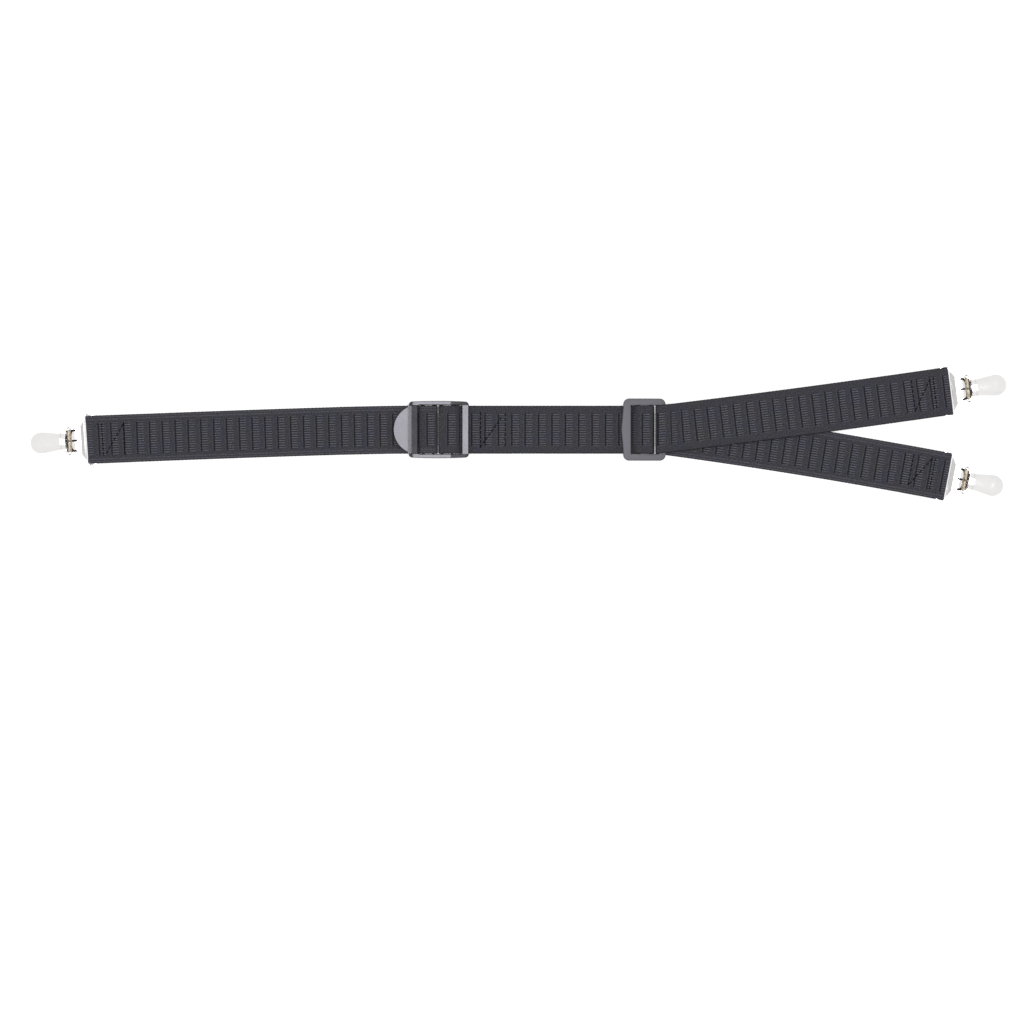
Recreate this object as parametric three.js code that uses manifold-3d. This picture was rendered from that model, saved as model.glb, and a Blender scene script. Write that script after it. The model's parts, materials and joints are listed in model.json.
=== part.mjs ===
// A shirt stay: webbing straps that run from a sock clip to two shirt clips.
// The sock strap is threaded through a ladder lock, the middle strap joins that to a slide,
// and the Y strap is one strip of webbing folded over the slide's last bar.
// Millimetres. +X runs from the sock clip to the shirt clips, +Z is up, and the stay lies on z = 0.

import * as THREE from "three";
import { mergeVertices } from "three/addons/utils/BufferGeometryUtils.js";
import Module from "manifold-3d";

const wasm = await Module();
wasm.setup();

// Webbing: its size, the air between two layers, and the running clearance between pieces.
const webWidth = 25;
const webThick = 1.4;
const layerGap = 0.15;
const clearance = 0.3;

// Straps in plan. Each has a near leg at a buckle and a far leg at a clip, with one easy bend.
// Headings are degrees from +X, and the clip's own heading may differ a little from its strap's.
const sockRoute = { nearLeg: 35, nearHeading: 180, farLeg: 131.6, farHeading: 182.3, clip: 183.8 };
const upperRoute = { nearLeg: 77, nearHeading: 6.8, farLeg: 76.4, farHeading: 8.3, clip: 7.2 };
const lowerRoute = { nearLeg: 76.5, nearHeading: -7.6, farLeg: 76.2, farHeading: -10.8, clip: -10.8 };
const middleReach = 79; // bare length of the middle strap between the two buckles
const skewReach = 24; // length over which a slanted fold squares up

// Straps in the side view.
const lockTail = 35; // hidden tail of the sock strap, past the ladder lock
const slideTail = 40; // hidden tail of the middle strap, past the slide
const lockHem = 22; // turned-back end of the middle strap, past the ladder lock
const clipHem = 21; // turned-back end at a clip
const clipSeam = 7; // from a clip's fold to the seam that closes it
const stepRun = 8; // length over which a strap steps up one layer
const stepRound = 6; // radius of the easy bends of such a step
const legRound = 1.2; // centreline radius where webbing turns up between bars
const humpRound = 2.4; // centreline radius where webbing turns over a bar
const clipRound = 3; // radius of the bends over a clip's hem
const wrapRound = 1.4; // centreline radius where the Y strap folds over the slide
const wrapFall = 3.4; // length over which the folded webbing comes down past the slide
const wrapJoin = 0.2; // how far each arm reaches past the middle of that fold

// Ladder lock.
const lockFrontBar = 4.9;
const lockBar = 6; // each inner bar, along the strap
const lockEndBar = 3.7;
const lockLegSpace = 0.7; // air between the front bar and the webbing that rises behind it
const lockHumpSpace = 0.4; // air between the two humps of webbing
const lockFall = 4.7; // from the second inner bar to the end bar, where the webbing comes down
const lockRail = 2;
const lockRailSpace = 0.35; // air between the webbing's edge and a rail
const lockRailBow = 0.35; // how far a rail bows outwards
const lockBarHeight = 3;
const lockBarLow = 2; // underside of the inner bars
const lockRailLow = 1;
const lockRailHigh = 6.1;
const lockRailEnd = 4.1; // top of a rail where it meets the end bar
const lockEndHigh = 5.1;
const lockFrontHigh = 5.3; // crest of the front bar, over its outer edge
const lockFrontLow = 4.2; // its top at its inner edge
const lockFrontRound = 1.2;
const lockEdge = 0.4; // rounding of the end bars' other edges
const lockCorner = 2;
const tabReach = 8; // the lift tab past the front bar
const tabHalfWidth = 12;
const tabThick = 1.6;
const tabTilt = 6; // degrees that the tab rises

// Three-bar slide.
const slideBar = 4.9; // first bar, at its middle
const slideFirstGap = 4.9;
const slideCentreBar = 4.9;
const slideSecondGap = 4.9;
const slideLastBar = 4.8;
const slideRail = 3.2;
const slideRailSpace = 0.45; // air between the webbing's edge and a rail
const slidePoint = 1.2; // how far the end bars bulge at their middle
const slideThick = 2.4;
const slideCorner = 3;
const slideEdge = 0.45; // rounding of the slide's edges

// Clip frame: sheet metal. Lengths run from the fold of the strap towards the clip's tip.
const sheet = 0.8;
const slotBar = 1.8; // bar that the webbing is sewn round
const slotSide = 0.5; // metal beside the webbing slot
const slotEnd = 1.8;
const slopeStart = 0.3; // where the loop starts to narrow
const neckStart = 4.3;
const neckHalfWidth = 6.1;
const neckUp = 3; // middle of the neck's sheet
const cheekStart = 5.4;
const fingerRoot = 6.5; // where the slots beside the spring fingers start
const slitRoot = 6; // where the slit between the fingers starts
const fingerBend = 7.7;
const fingerTip = 8.35;
const fingerTipUp = 2.55;
const fingerHalfWidth = 4.85;
const slitHalfWidth = 0.45;
const cheekOuter = 6.5; // from the middle of the clip to the outside of a cheek
const cheekRound = 1.7; // round top of a cheek, about the pin
const jawHalfWidth = 4.5;
const jawTip = 29.4;

// Hinge pin and domed lever.
const pinAlong = 10.2;
const pinUp = 2.7;
const pinRadius = 0.5;
const pinProud = 0.6; // how far the pin stands out of a cheek
const capNear = 12;
const capTip = 31.3;
const capTipRadius = 6.5;
const capRim = 0.4;
const capHigh = 5.4;
const capEdge = 3.4; // width of the dome's round shoulder
const capFall = 0.22; // share of its height that the dome loses towards the tip
const capWall = 0.8;
const barrelRadius = 1.3; // the lever's barrel, which turns on the pin
const notchEnd = 10.6; // where the notch over the middle of the barrel ends
const armLow = 1.4;
const armHigh = 2.6;
const armOverlap = 1.4; // how far an arm runs along the dome's wall

// Facets.
const arcStep = THREE.MathUtils.degToRad(22.5);
const planStep = 14;
const roundFacets = 12;
const pinFacets = 12;
const domeFacets = 5;
const edgeFacets = 2;

// How far a cutting solid reaches past what it cuts, and the distances at which points are one.
const past = 1;
const weldReach = 1e-4;
const pointReach = 1e-3;

// Heights of the middle of a strap: on the surface, on another layer, and round a clip's bar.
const floorLayer = webThick / 2;
const topLayer = floorLayer + webThick + layerGap;
const clipLayer = floorLayer + webThick + 2 * clearance + sheet;

// A closed geometry as a solid, and a solid as a geometry again.
function solidOf(geometry) {
  geometry.deleteAttribute("normal");
  geometry.deleteAttribute("uv");
  const merged = mergeVertices(geometry, weldReach);
  return new wasm.Manifold(
    new wasm.Mesh({
      numProp: 3,
      vertProperties: merged.attributes.position.array,
      triVerts: new Uint32Array(merged.index.array),
    }),
  );
}

function geometryOf(solid) {
  const mesh = solid.getMesh();
  const geometry = new THREE.BufferGeometry();
  geometry.setAttribute("position", new THREE.BufferAttribute(mesh.vertProperties, 3));
  geometry.setIndex(new THREE.BufferAttribute(mesh.triVerts, 1));
  geometry.computeVertexNormals();
  return geometry;
}

function joined(solids) {
  return solids.reduce((sum, next) => sum.add(next));
}

// A plan outline as a slab between two heights.
function slabGeometry(shape, low, high) {
  const options = { depth: high - low, bevelEnabled: false, curveSegments: roundFacets };
  return new THREE.ExtrudeGeometry(shape, options).translate(0, 0, low);
}

function slab(shape, low, high) {
  return solidOf(slabGeometry(shape, low, high));
}

// A side-view outline (along, up) as a bar that runs across, from one side position to another.
function barGeometry(shape, from, to) {
  const options = { depth: to - from, bevelEnabled: false, curveSegments: roundFacets };
  return new THREE.ExtrudeGeometry(shape, options).rotateX(Math.PI / 2).translate(0, to, 0);
}

function bar(shape, halfWidth) {
  return solidOf(barGeometry(shape, -halfWidth, halfWidth));
}

// The points of a polyline whose corners { along, up, round } are rounded by arcs.
// Where two arcs would meet on a short stretch, both are made smaller until they fit.
function roundedLine(corners) {
  const spots = corners.map((corner) => new THREE.Vector2(corner.along, corner.up));
  const halves = spots.map((spot, i) => {
    if (!corners[i].round) return Math.PI / 2;
    const back = spots[i - 1].clone().sub(spot);
    return back.angleTo(spots[i + 1].clone().sub(spot)) / 2;
  });
  const reaches = corners.map((corner, i) => (corner.round ?? 0) / Math.tan(halves[i]));
  const fits = spots.slice(1).map((spot, i) => {
    return Math.min(1, spot.distanceTo(spots[i]) / (reaches[i] + reaches[i + 1]));
  });
  const points = [];
  corners.forEach((corner, i) => {
    const here = spots[i];
    if (!corner.round) {
      points.push(here);
      return;
    }
    const fit = Math.min(fits[i - 1], fits[i]);
    const back = spots[i - 1].clone().sub(here).normalize();
    const ahead = spots[i + 1].clone().sub(here).normalize();
    const inwards = back.clone().add(ahead).normalize();
    const depth = (fit * corner.round) / Math.sin(halves[i]);
    const centre = here.clone().addScaledVector(inwards, depth);
    const start = here.clone().addScaledVector(back, fit * reaches[i]);
    const turn = (2 * halves[i] - Math.PI) * Math.sign(back.cross(ahead));
    const steps = Math.ceil(Math.abs(turn) / arcStep);
    for (let k = 0; k <= steps; k++) {
      points.push(start.clone().rotateAround(centre, (turn * k) / steps));
    }
  });
  return points.filter((point, i) => i === 0 || point.distanceTo(points[i - 1]) > pointReach);
}

// The same line with points added so that no stretch is longer than the step.
function divided(line, step) {
  const points = [line[0]];
  line.slice(1).forEach((point, i) => {
    const count = Math.ceil(point.distanceTo(line[i]) / step);
    for (let k = 1; k <= count; k++) {
      points.push(line[i].clone().lerp(point, k / count));
    }
  });
  return points;
}

// The outline of a strip of even thickness that follows a line in the side view.
function stripShape(line, thick) {
  const leftSide = [];
  const rightSide = [];
  line.forEach((point, i) => {
    const before = line[Math.max(i - 1, 0)];
    const after = line[Math.min(i + 1, line.length - 1)];
    const arriving = point.clone().sub(before).normalize();
    const leaving = after.clone().sub(point).normalize();
    const heading = arriving.clone().add(leaving).normalize();
    const mitre = Math.max(heading.dot(arriving), heading.dot(leaving));
    const offset = new THREE.Vector2(-heading.y, heading.x).multiplyScalar(thick / 2 / mitre);
    leftSide.push(point.clone().add(offset));
    rightSide.unshift(point.clone().sub(offset));
  });
  return new THREE.Shape([...leftSide, ...rightSide]);
}

function headingVector(heading) {
  const angle = THREE.MathUtils.degToRad(heading);
  return new THREE.Vector2(Math.cos(angle), Math.sin(angle));
}

// A strap's course in plan. at(along, across) gives the plan position of a point of the strap.
// A slanted fold at either end shifts the two edges of the webbing along the strap.
function courseOf(start, route, nearFold) {
  const bend = start.clone().addScaledVector(headingVector(route.nearHeading), route.nearLeg);
  const end = bend.clone().addScaledVector(headingVector(route.farHeading), route.farLeg);
  const curve = new THREE.QuadraticBezierCurve(start, bend, end);
  const length = curve.getLength();
  const nearSlant = Math.tan(THREE.MathUtils.degToRad(route.nearHeading - nearFold));
  const farSlant = Math.tan(THREE.MathUtils.degToRad(route.farHeading - route.clip));
  const share = (distance) => 1 - THREE.MathUtils.smoothstep(distance, 0, skewReach);
  const at = (along, across) => {
    const slant = nearSlant * share(along) + farSlant * share(length - along);
    const travel = along + across * slant;
    const part = THREE.MathUtils.clamp(travel / length, 0, 1);
    const tangent = curve.getTangentAt(part);
    const side = new THREE.Vector2(-tangent.y, tangent.x);
    return curve
      .getPointAt(part)
      .addScaledVector(tangent, travel - part * length)
      .addScaledVector(side, across);
  };
  return { at, length, end };
}

// A strap: a strip of webbing along side-view corners, laid along a course in plan.
function strap(corners, course) {
  const line = divided(roundedLine(corners), planStep);
  const geometry = barGeometry(stripShape(line, webThick), -webWidth / 2, webWidth / 2);
  const position = geometry.attributes.position;
  for (let i = 0; i < position.count; i++) {
    const spot = course.at(position.getX(i), position.getY(i));
    position.setXY(i, spot.x, spot.y);
  }
  return solidOf(geometry);
}

// Side-view corners at the clip end of a strap: over its hem, round the clip's bar and back.
function clipCorners(length) {
  const turn = (clipLayer - floorLayer) / 2;
  const foldAlong = length - webThick / 2;
  return [
    { along: length - clipSeam, up: topLayer, round: clipRound },
    { along: length - clipSeam / 2, up: clipLayer, round: clipRound },
    { along: foldAlong, up: clipLayer, round: turn },
    { along: foldAlong, up: floorLayer, round: turn },
    { along: length - clipHem, up: floorLayer },
  ];
}

function stepUpCorners(along) {
  return [
    { along: along - stepRun, up: floorLayer, round: stepRound },
    { along, up: topLayer, round: stepRound },
  ];
}

// Ladder lock: places along the strap, from the outer edge of its front bar.
const lockRise = lockFrontBar + lockLegSpace + webThick / 2;
const lockBarA = lockRise + webThick / 2 + clearance;
const lockDrop = lockBarA + lockBar + clearance + webThick / 2;
const lockLoop = lockDrop + webThick + lockHumpSpace;
const lockBarB = lockLoop + webThick / 2 + clearance;
const lockEnd = lockBarB + lockBar + lockFall;
const lockLength = lockEnd + lockEndBar;
const lockHump = lockBarLow + lockBarHeight + clearance + webThick / 2;
const lockUnder = topLayer + webThick / 2 + clearance;

// Slide: places from the outer edge of its first bar. It leans down towards its last bar,
// because its first bar lies on two layers of webbing and its last bar on one.
const slideStart = lockLength + middleReach;
const slideCentre = slideBar + slideFirstGap;
const slideLast = slideCentre + slideCentreBar + slideSecondGap;
const slideLength = slideLast + slideLastBar;
const slideSlope = (webThick + layerGap) / (slideLength - slideBar);
const slideLean = Math.atan(slideSlope);
const slideUnder = lockUnder + slideBar * slideSlope;
const slideOver = slideUnder + slideThick / Math.cos(slideLean);
const slideHump = slideOver - slideCentre * slideSlope + clearance + webThick / 2;
const slideDrop = slideCentre + slideCentreBar + clearance + webThick / 2;
const wrapStart = slideLast - clearance - webThick / 2;

function sockStrapCorners(length) {
  return [
    { along: lockTail, up: floorLayer },
    { along: -lockDrop, up: floorLayer, round: legRound },
    { along: -lockDrop, up: lockHump, round: humpRound },
    { along: -lockRise, up: lockHump, round: humpRound },
    { along: -lockRise, up: topLayer, round: legRound },
    ...stepUpCorners(-lockTail)
      .map((corner) => ({ ...corner, along: -corner.along }))
      .reverse(),
    ...stepUpCorners(length - clipHem),
    ...clipCorners(length),
  ];
}

function middleStrapCorners() {
  const fallStart = lockBarB + lockBar + webThick / 2;
  const fallEnd = lockEnd - webThick / 2 - clearance;
  const climbStart = slideStart + slideBar + webThick;
  const climbEnd = slideStart + slideCentre - webThick / 2;
  return [
    { along: lockLength + lockHem, up: floorLayer },
    { along: lockLoop, up: floorLayer, round: legRound },
    { along: lockLoop, up: lockHump, round: humpRound },
    { along: fallStart, up: lockHump, round: legRound },
    { along: fallEnd, up: topLayer, round: legRound },
    { along: climbStart, up: topLayer, round: legRound },
    { along: climbEnd, up: slideHump, round: legRound },
    { along: slideStart + slideDrop, up: slideHump - slideSlope, round: legRound },
    { along: slideStart + slideDrop, up: floorLayer, round: legRound },
    { along: slideStart - slideTail, up: floorLayer },
  ];
}

// The two arms of the Y strap start in the middle of its fold, where they overlap a little.
const wrapTop = slideOver - slideLast * slideSlope + clearance + webThick / 2;
const wrapMiddle = (wrapTop + floorLayer) / 2;

function upperArmCorners(length) {
  const barEnd = slideLength - wrapStart;
  return [
    { along: 0, up: wrapMiddle - wrapJoin },
    { along: 0, up: wrapTop, round: wrapRound },
    { along: barEnd, up: wrapTop - barEnd * slideSlope, round: legRound },
    { along: barEnd + wrapFall, up: topLayer, round: legRound },
    ...clipCorners(length),
  ];
}

function lowerArmCorners(length) {
  return [
    { along: 0, up: wrapMiddle + wrapJoin },
    { along: 0, up: floorLayer, round: wrapRound },
    ...stepUpCorners(length - clipHem),
    ...clipCorners(length),
  ];
}

// A rectangle in the side view with round corners.
function roundedRectangle(left, right, low, high, topRound, lowRound) {
  const shape = new THREE.Shape();
  shape.moveTo(left + lowRound, low);
  shape.absarc(right - lowRound, low + lowRound, lowRound, -Math.PI / 2, 0);
  shape.absarc(right - topRound, high - topRound, topRound, 0, Math.PI / 2);
  shape.absarc(left + topRound, high - topRound, topRound, Math.PI / 2, Math.PI);
  shape.absarc(left + lowRound, low + lowRound, lowRound, Math.PI, 1.5 * Math.PI);
  return shape;
}

// A rectangle in plan with round corners, whose sides and ends bow outwards at their middles.
function bowedRectangle(left, right, halfWidth, corner, sideBow, endBow) {
  const middle = (left + right) / 2;
  const shape = new THREE.Shape();
  shape.moveTo(left + endBow + corner, -halfWidth + sideBow);
  shape.quadraticCurveTo(middle, -halfWidth - sideBow, right - endBow - corner, -halfWidth + sideBow);
  shape.quadraticCurveTo(right - endBow, -halfWidth + sideBow, right - endBow, -halfWidth + corner);
  shape.quadraticCurveTo(right + endBow, 0, right - endBow, halfWidth - corner);
  shape.quadraticCurveTo(right - endBow, halfWidth - sideBow, right - endBow - corner, halfWidth - sideBow);
  shape.quadraticCurveTo(middle, halfWidth + sideBow, left + endBow + corner, halfWidth - sideBow);
  shape.quadraticCurveTo(left + endBow, halfWidth - sideBow, left + endBow, halfWidth - corner);
  shape.quadraticCurveTo(left - endBow, 0, left + endBow, -halfWidth + corner);
  shape.quadraticCurveTo(left + endBow, -halfWidth + sideBow, left + endBow + corner, -halfWidth + sideBow);
  return shape;
}

function rectangle(left, right, halfWidth) {
  return new THREE.Shape([
    new THREE.Vector2(left, -halfWidth),
    new THREE.Vector2(right, -halfWidth),
    new THREE.Vector2(right, halfWidth),
    new THREE.Vector2(left, halfWidth),
  ]);
}

// A rail of the lock from the side: deep in the middle, with shallow ends over the webbing.
function lockRailShape() {
  const frontRound = lockFrontBar / 2;
  const shape = new THREE.Shape();
  shape.moveTo(0, lockUnder);
  shape.absarc(frontRound, lockRailHigh - frontRound, frontRound, Math.PI, Math.PI / 2, true);
  shape.lineTo(lockBarB + lockBar, lockRailHigh);
  shape.lineTo(lockLength, lockRailEnd);
  shape.lineTo(lockLength, lockUnder);
  shape.lineTo(lockEnd, lockUnder);
  shape.lineTo(lockEnd - lockCorner, lockRailLow);
  shape.lineTo(lockFrontBar + lockCorner, lockRailLow);
  shape.lineTo(lockFrontBar, lockUnder);
  return shape;
}

// The lock's front bar from the side, whose top falls towards the webbing.
function lockFrontShape() {
  return new THREE.Shape(
    roundedLine([
      { along: lockFrontBar / 2, up: lockUnder },
      { along: 0, up: lockUnder, round: lockEdge },
      { along: 0, up: lockFrontHigh, round: lockFrontRound },
      { along: lockFrontBar, up: lockFrontLow, round: lockEdge },
      { along: lockFrontBar, up: lockUnder, round: lockEdge },
      { along: lockFrontBar / 2, up: lockUnder },
    ]).slice(1),
  );
}

function tabShape() {
  const radius = (tabHalfWidth ** 2 + tabReach ** 2) / (2 * tabReach);
  const edge = Math.asin(tabHalfWidth / radius);
  const shape = new THREE.Shape();
  shape.moveTo(tabThick, -tabHalfWidth);
  shape.lineTo(tabThick, tabHalfWidth);
  shape.absarc(radius - tabReach, 0, radius, Math.PI - edge, Math.PI + edge);
  return shape;
}

function ladderLock() {
  const inside = webWidth / 2 + lockRailSpace;
  const outside = inside + lockRail;
  const ring = bowedRectangle(0, lockLength, outside, lockCorner, lockRailBow, 0);
  const between = slab(rectangle(-past, lockLength + past, inside), -past, lockRailHigh + 2 * past);
  const railsPlan = slab(ring, 0, lockRailHigh + past).subtract(between);
  const rails = railsPlan.intersect(bar(lockRailShape(), outside + past));
  const top = humpRound - webThick / 2 - clearance;
  const barReach = inside + lockRail / 2;
  const endShape = roundedRectangle(lockEnd, lockLength, lockUnder, lockEndHigh, lockEdge, lockEdge);
  const bars = [lockBarA, lockBarB].map((start) => {
    const high = lockBarLow + lockBarHeight;
    const section = roundedRectangle(start, start + lockBar, lockBarLow, high, top, top / 2);
    return bar(section, barReach);
  });
  bars.push(bar(lockFrontShape(), barReach), bar(endShape, barReach));
  const tab = slabGeometry(tabShape(), 0, tabThick)
    .rotateY(THREE.MathUtils.degToRad(tabTilt))
    .translate(0, 0, lockUnder + clearance);
  return joined([rails, ...bars, solidOf(tab)]);
}

function slideBuckle() {
  const inside = webWidth / 2 + slideRailSpace;
  const outside = inside + slideRail;
  const shape = bowedRectangle(0, slideLength, outside, slideCorner, 0, slidePoint);
  const options = {
    depth: slideThick - 2 * slideEdge,
    bevelThickness: slideEdge,
    bevelSize: slideEdge,
    bevelOffset: -slideEdge,
    bevelSegments: edgeFacets,
    curveSegments: roundFacets,
  };
  const plate = solidOf(new THREE.ExtrudeGeometry(shape, options).translate(0, 0, slideEdge));
  const firstSlot = slab(rectangle(slideBar, slideCentre, inside), -past, slideThick + past);
  const centreEnd = slideCentre + slideCentreBar;
  const secondSlot = slab(rectangle(centreEnd, slideLast, inside), -past, slideThick + past);
  return plate.subtract(firstSlot).subtract(secondSlot);
}

// The frame's outline in plan: a trapezoid loop for the webbing, a neck and two spring fingers.
function framePlanShape() {
  const barOuter = -webThick - clearance - slotBar;
  const slotHalf = webWidth / 2 + clearance;
  const loopHalf = slotHalf + slotSide;
  const half = [
    [barOuter, loopHalf],
    [slopeStart, loopHalf],
    [neckStart, neckHalfWidth],
    [cheekStart, cheekOuter],
    [pinAlong - cheekRound, cheekOuter],
    [pinAlong - cheekRound, cheekOuter - sheet],
    [fingerRoot, cheekOuter - sheet],
    [fingerRoot, fingerHalfWidth],
    [fingerTip + past, fingerHalfWidth],
    [fingerTip + past, slitHalfWidth],
    [slitRoot, slitHalfWidth],
  ];
  const points = half.map(([along, side]) => new THREE.Vector2(along, side));
  const mirrored = half.map(([along, side]) => new THREE.Vector2(along, -side)).reverse();
  return new THREE.Shape([...points, ...mirrored]);
}

// The slot for the webbing, whose far corners follow the loop's slanted sides.
function frameSlotShape() {
  const slotHalf = webWidth / 2 + clearance;
  const slope = (slotHalf + slotSide - neckHalfWidth) / (neckStart - slopeStart);
  const slotFar = slotHalf - (slotEnd - clearance) * slope;
  return new THREE.Shape([
    new THREE.Vector2(-webThick - clearance, -slotHalf),
    new THREE.Vector2(clearance, -slotHalf),
    new THREE.Vector2(slotEnd, -slotFar),
    new THREE.Vector2(slotEnd, slotFar),
    new THREE.Vector2(clearance, slotHalf),
    new THREE.Vector2(-webThick - clearance, slotHalf),
  ]);
}

// The same sheet from the side: flat at the webbing, up to the neck, and down at the fingers.
function frameSideShape() {
  const barUp = webThick + clearance + sheet / 2;
  const line = roundedLine([
    { along: -webThick - clearance - slotBar, up: barUp },
    { along: slotEnd, up: barUp, round: sheet },
    { along: neckStart, up: neckUp, round: sheet },
    { along: fingerBend, up: neckUp, round: sheet },
    { along: fingerTip, up: fingerTipUp },
  ]);
  return stripShape(line, sheet);
}

// A cheek from the side: it hangs from the neck, carries the pin and stands on the jaw plate.
function cheekShape() {
  const top = neckUp + sheet / 2;
  const turn = Math.PI - Math.asin((top - pinUp) / cheekRound);
  const shape = new THREE.Shape();
  shape.moveTo(cheekStart, neckUp - sheet / 2);
  shape.lineTo(pinAlong - cheekRound, 0);
  shape.lineTo(pinAlong + cheekRound, 0);
  shape.absarc(pinAlong, pinUp, cheekRound, 0, turn);
  shape.lineTo(cheekStart, top);
  return shape;
}

function jawShape() {
  const wide = pinAlong + cheekRound;
  const shape = new THREE.Shape();
  shape.moveTo(pinAlong - cheekRound, -cheekOuter);
  shape.lineTo(wide, -cheekOuter);
  shape.lineTo(wide, -jawHalfWidth);
  shape.absarc(jawTip - jawHalfWidth, 0, jawHalfWidth, -Math.PI / 2, Math.PI / 2);
  shape.lineTo(wide, jawHalfWidth);
  shape.lineTo(wide, cheekOuter);
  shape.lineTo(pinAlong - cheekRound, cheekOuter);
  return shape;
}

// A cylinder about the hinge's axis, from side to side.
function hingeCylinder(radius, halfLength) {
  const geometry = new THREE.CylinderGeometry(radius, radius, 2 * halfLength, pinFacets);
  return solidOf(geometry.translate(pinAlong, 0, pinUp));
}

function clipFrame() {
  const tall = neckUp + sheet;
  const slot = slab(frameSlotShape(), -past, tall + past);
  const plan = slab(framePlanShape(), 0, tall).subtract(slot);
  const plate = bar(frameSideShape(), webWidth).intersect(plan);
  const cheeks = [
    solidOf(barGeometry(cheekShape(), cheekOuter - sheet, cheekOuter)),
    solidOf(barGeometry(cheekShape(), -cheekOuter, sheet - cheekOuter)),
  ];
  const bore = hingeCylinder(pinRadius + clearance, cheekOuter + past);
  return joined([plate, ...cheeks, slab(jawShape(), 0, sheet)]).subtract(bore);
}

function clipPin() {
  return hingeCylinder(pinRadius, cheekOuter + pinProud);
}

// A dome over the cap's outline, made smaller on all sides by an inset.
// Its near end runs on past the cap, where it is cut off.
function capDome(inset) {
  const nearHalf = cheekOuter - sheet - clearance - inset;
  const tip = capTip - capTipRadius;
  const start = capNear - 2 * capEdge;
  const outline = new THREE.Shape();
  outline.moveTo(start, -nearHalf);
  outline.lineTo(capNear, -nearHalf);
  outline.absarc(tip, 0, capTipRadius - inset, -Math.PI / 2, Math.PI / 2);
  outline.lineTo(capNear, nearHalf);
  outline.lineTo(start, nearHalf);
  const height = capHigh - capRim - inset;
  const options = {
    depth: capRim,
    bevelThickness: height,
    bevelSize: capEdge,
    bevelOffset: -capEdge,
    bevelSegments: domeFacets,
    curveSegments: roundFacets,
  };
  const geometry = new THREE.ExtrudeGeometry(outline, options);
  const position = geometry.attributes.position;
  for (let i = 0; i < position.count; i++) {
    const far = Math.max(0, (position.getX(i) - capNear) / (capTip - capNear));
    const up = position.getZ(i);
    position.setZ(i, up > 0 ? up * (1 - capFall * far * far) : up);
  }
  return solidOf(geometry);
}

// An arm of the lever from the side, from inside the barrel to the dome's wall.
function armShape() {
  const shape = new THREE.Shape();
  shape.moveTo(pinAlong, armLow);
  shape.lineTo(capNear + armOverlap, armLow);
  shape.lineTo(capNear + armOverlap, armHigh);
  shape.lineTo(pinAlong, armHigh);
  return shape;
}

function clipLever() {
  const far = capTip + capEdge;
  const below = slab(rectangle(-far, far, webWidth), -2 * capHigh, capRim);
  const behind = slab(rectangle(-far, capNear, webWidth), -capHigh, 2 * capHigh);
  const shell = capDome(0).subtract(capDome(capWall)).subtract(below).subtract(behind);
  const outer = cheekOuter - sheet - clearance;
  const arms = [
    solidOf(barGeometry(armShape(), outer - capWall, outer)),
    solidOf(barGeometry(armShape(), -outer, capWall - outer)),
  ];
  const notchStart = pinAlong - barrelRadius - past;
  const notch = slab(rectangle(notchStart, notchEnd, slitHalfWidth), pinUp, capHigh);
  const bore = hingeCylinder(pinRadius + clearance, cheekOuter);
  return joined([shell, ...arms, hingeCylinder(barrelRadius, outer)]).subtract(notch).subtract(bore);
}

const webbing = { color: 0x3e3c42, roughness: 0.95, metalness: 0 };
const blackPlastic = { color: 0x4a4a4e, roughness: 0.5, metalness: 0 };
const nickel = { color: 0xdcdbd6, roughness: 0.2, metalness: 1 };

function mesh(name, solid, finish) {
  const made = new THREE.Mesh(geometryOf(solid), new THREE.MeshStandardMaterial(finish));
  made.name = name;
  return made;
}

// A clip, with its origin at the fold of its strap and its tip along +X of its own group.
function clipGroup(name, course, route) {
  const group = new THREE.Group();
  group.add(mesh(name + "_frame", clipFrame(), nickel));
  group.add(mesh(name + "_pin", clipPin(), nickel));
  group.add(mesh(name + "_lever", clipLever(), nickel));
  group.position.set(course.end.x, course.end.y, 0);
  group.rotation.z = THREE.MathUtils.degToRad(route.clip);
  return group;
}

const sockCourse = courseOf(new THREE.Vector2(0, 0), sockRoute, sockRoute.nearHeading);
const wrapPlace = new THREE.Vector2(slideStart + wrapStart, 0);
const upperCourse = courseOf(wrapPlace, upperRoute, 0);
const lowerCourse = courseOf(wrapPlace, lowerRoute, 0);
const straightCourse = { at: (along, across) => new THREE.Vector2(along, across) };

const upperArm = strap(upperArmCorners(upperCourse.length), upperCourse);
const lowerArm = strap(lowerArmCorners(lowerCourse.length), lowerCourse);

const slideMesh = mesh("slide_buckle", slideBuckle(), blackPlastic);
slideMesh.position.set(slideStart, 0, slideUnder);
slideMesh.rotation.y = slideLean;

const parts = new THREE.Group();
parts.add(mesh("sock_strap", strap(sockStrapCorners(sockCourse.length), sockCourse), webbing));
parts.add(mesh("middle_strap", strap(middleStrapCorners(), straightCourse), webbing));
parts.add(mesh("shirt_strap", upperArm.add(lowerArm), webbing));
parts.add(mesh("ladder_lock", ladderLock(), blackPlastic));
parts.add(slideMesh);
parts.add(clipGroup("sock_clip", sockCourse, sockRoute));
parts.add(clipGroup("upper_clip", upperCourse, upperRoute));
parts.add(clipGroup("lower_clip", lowerCourse, lowerRoute));

// The origin is under the middle of the whole stay.
const box = new THREE.Box3().setFromObject(parts, true);
const middle = box.getCenter(new THREE.Vector3());
parts.position.set(-middle.x, -middle.y, -box.min.z);

const shirtStay = new THREE.Group();
shirtStay.add(parts);

export default shirtStay;
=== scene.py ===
"""A shirt stay laid flat on a pale table: ribbed webbing, moulded buckles and bright clips.

Metres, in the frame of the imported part. +X runs from the sock clip to the two shirt clips,
and +Z is up. Places on a strap are worked out along its course, as on a cutting table.
"""

import json
import math

import bpy
import numpy as np
from mathutils import Matrix, Vector

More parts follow.
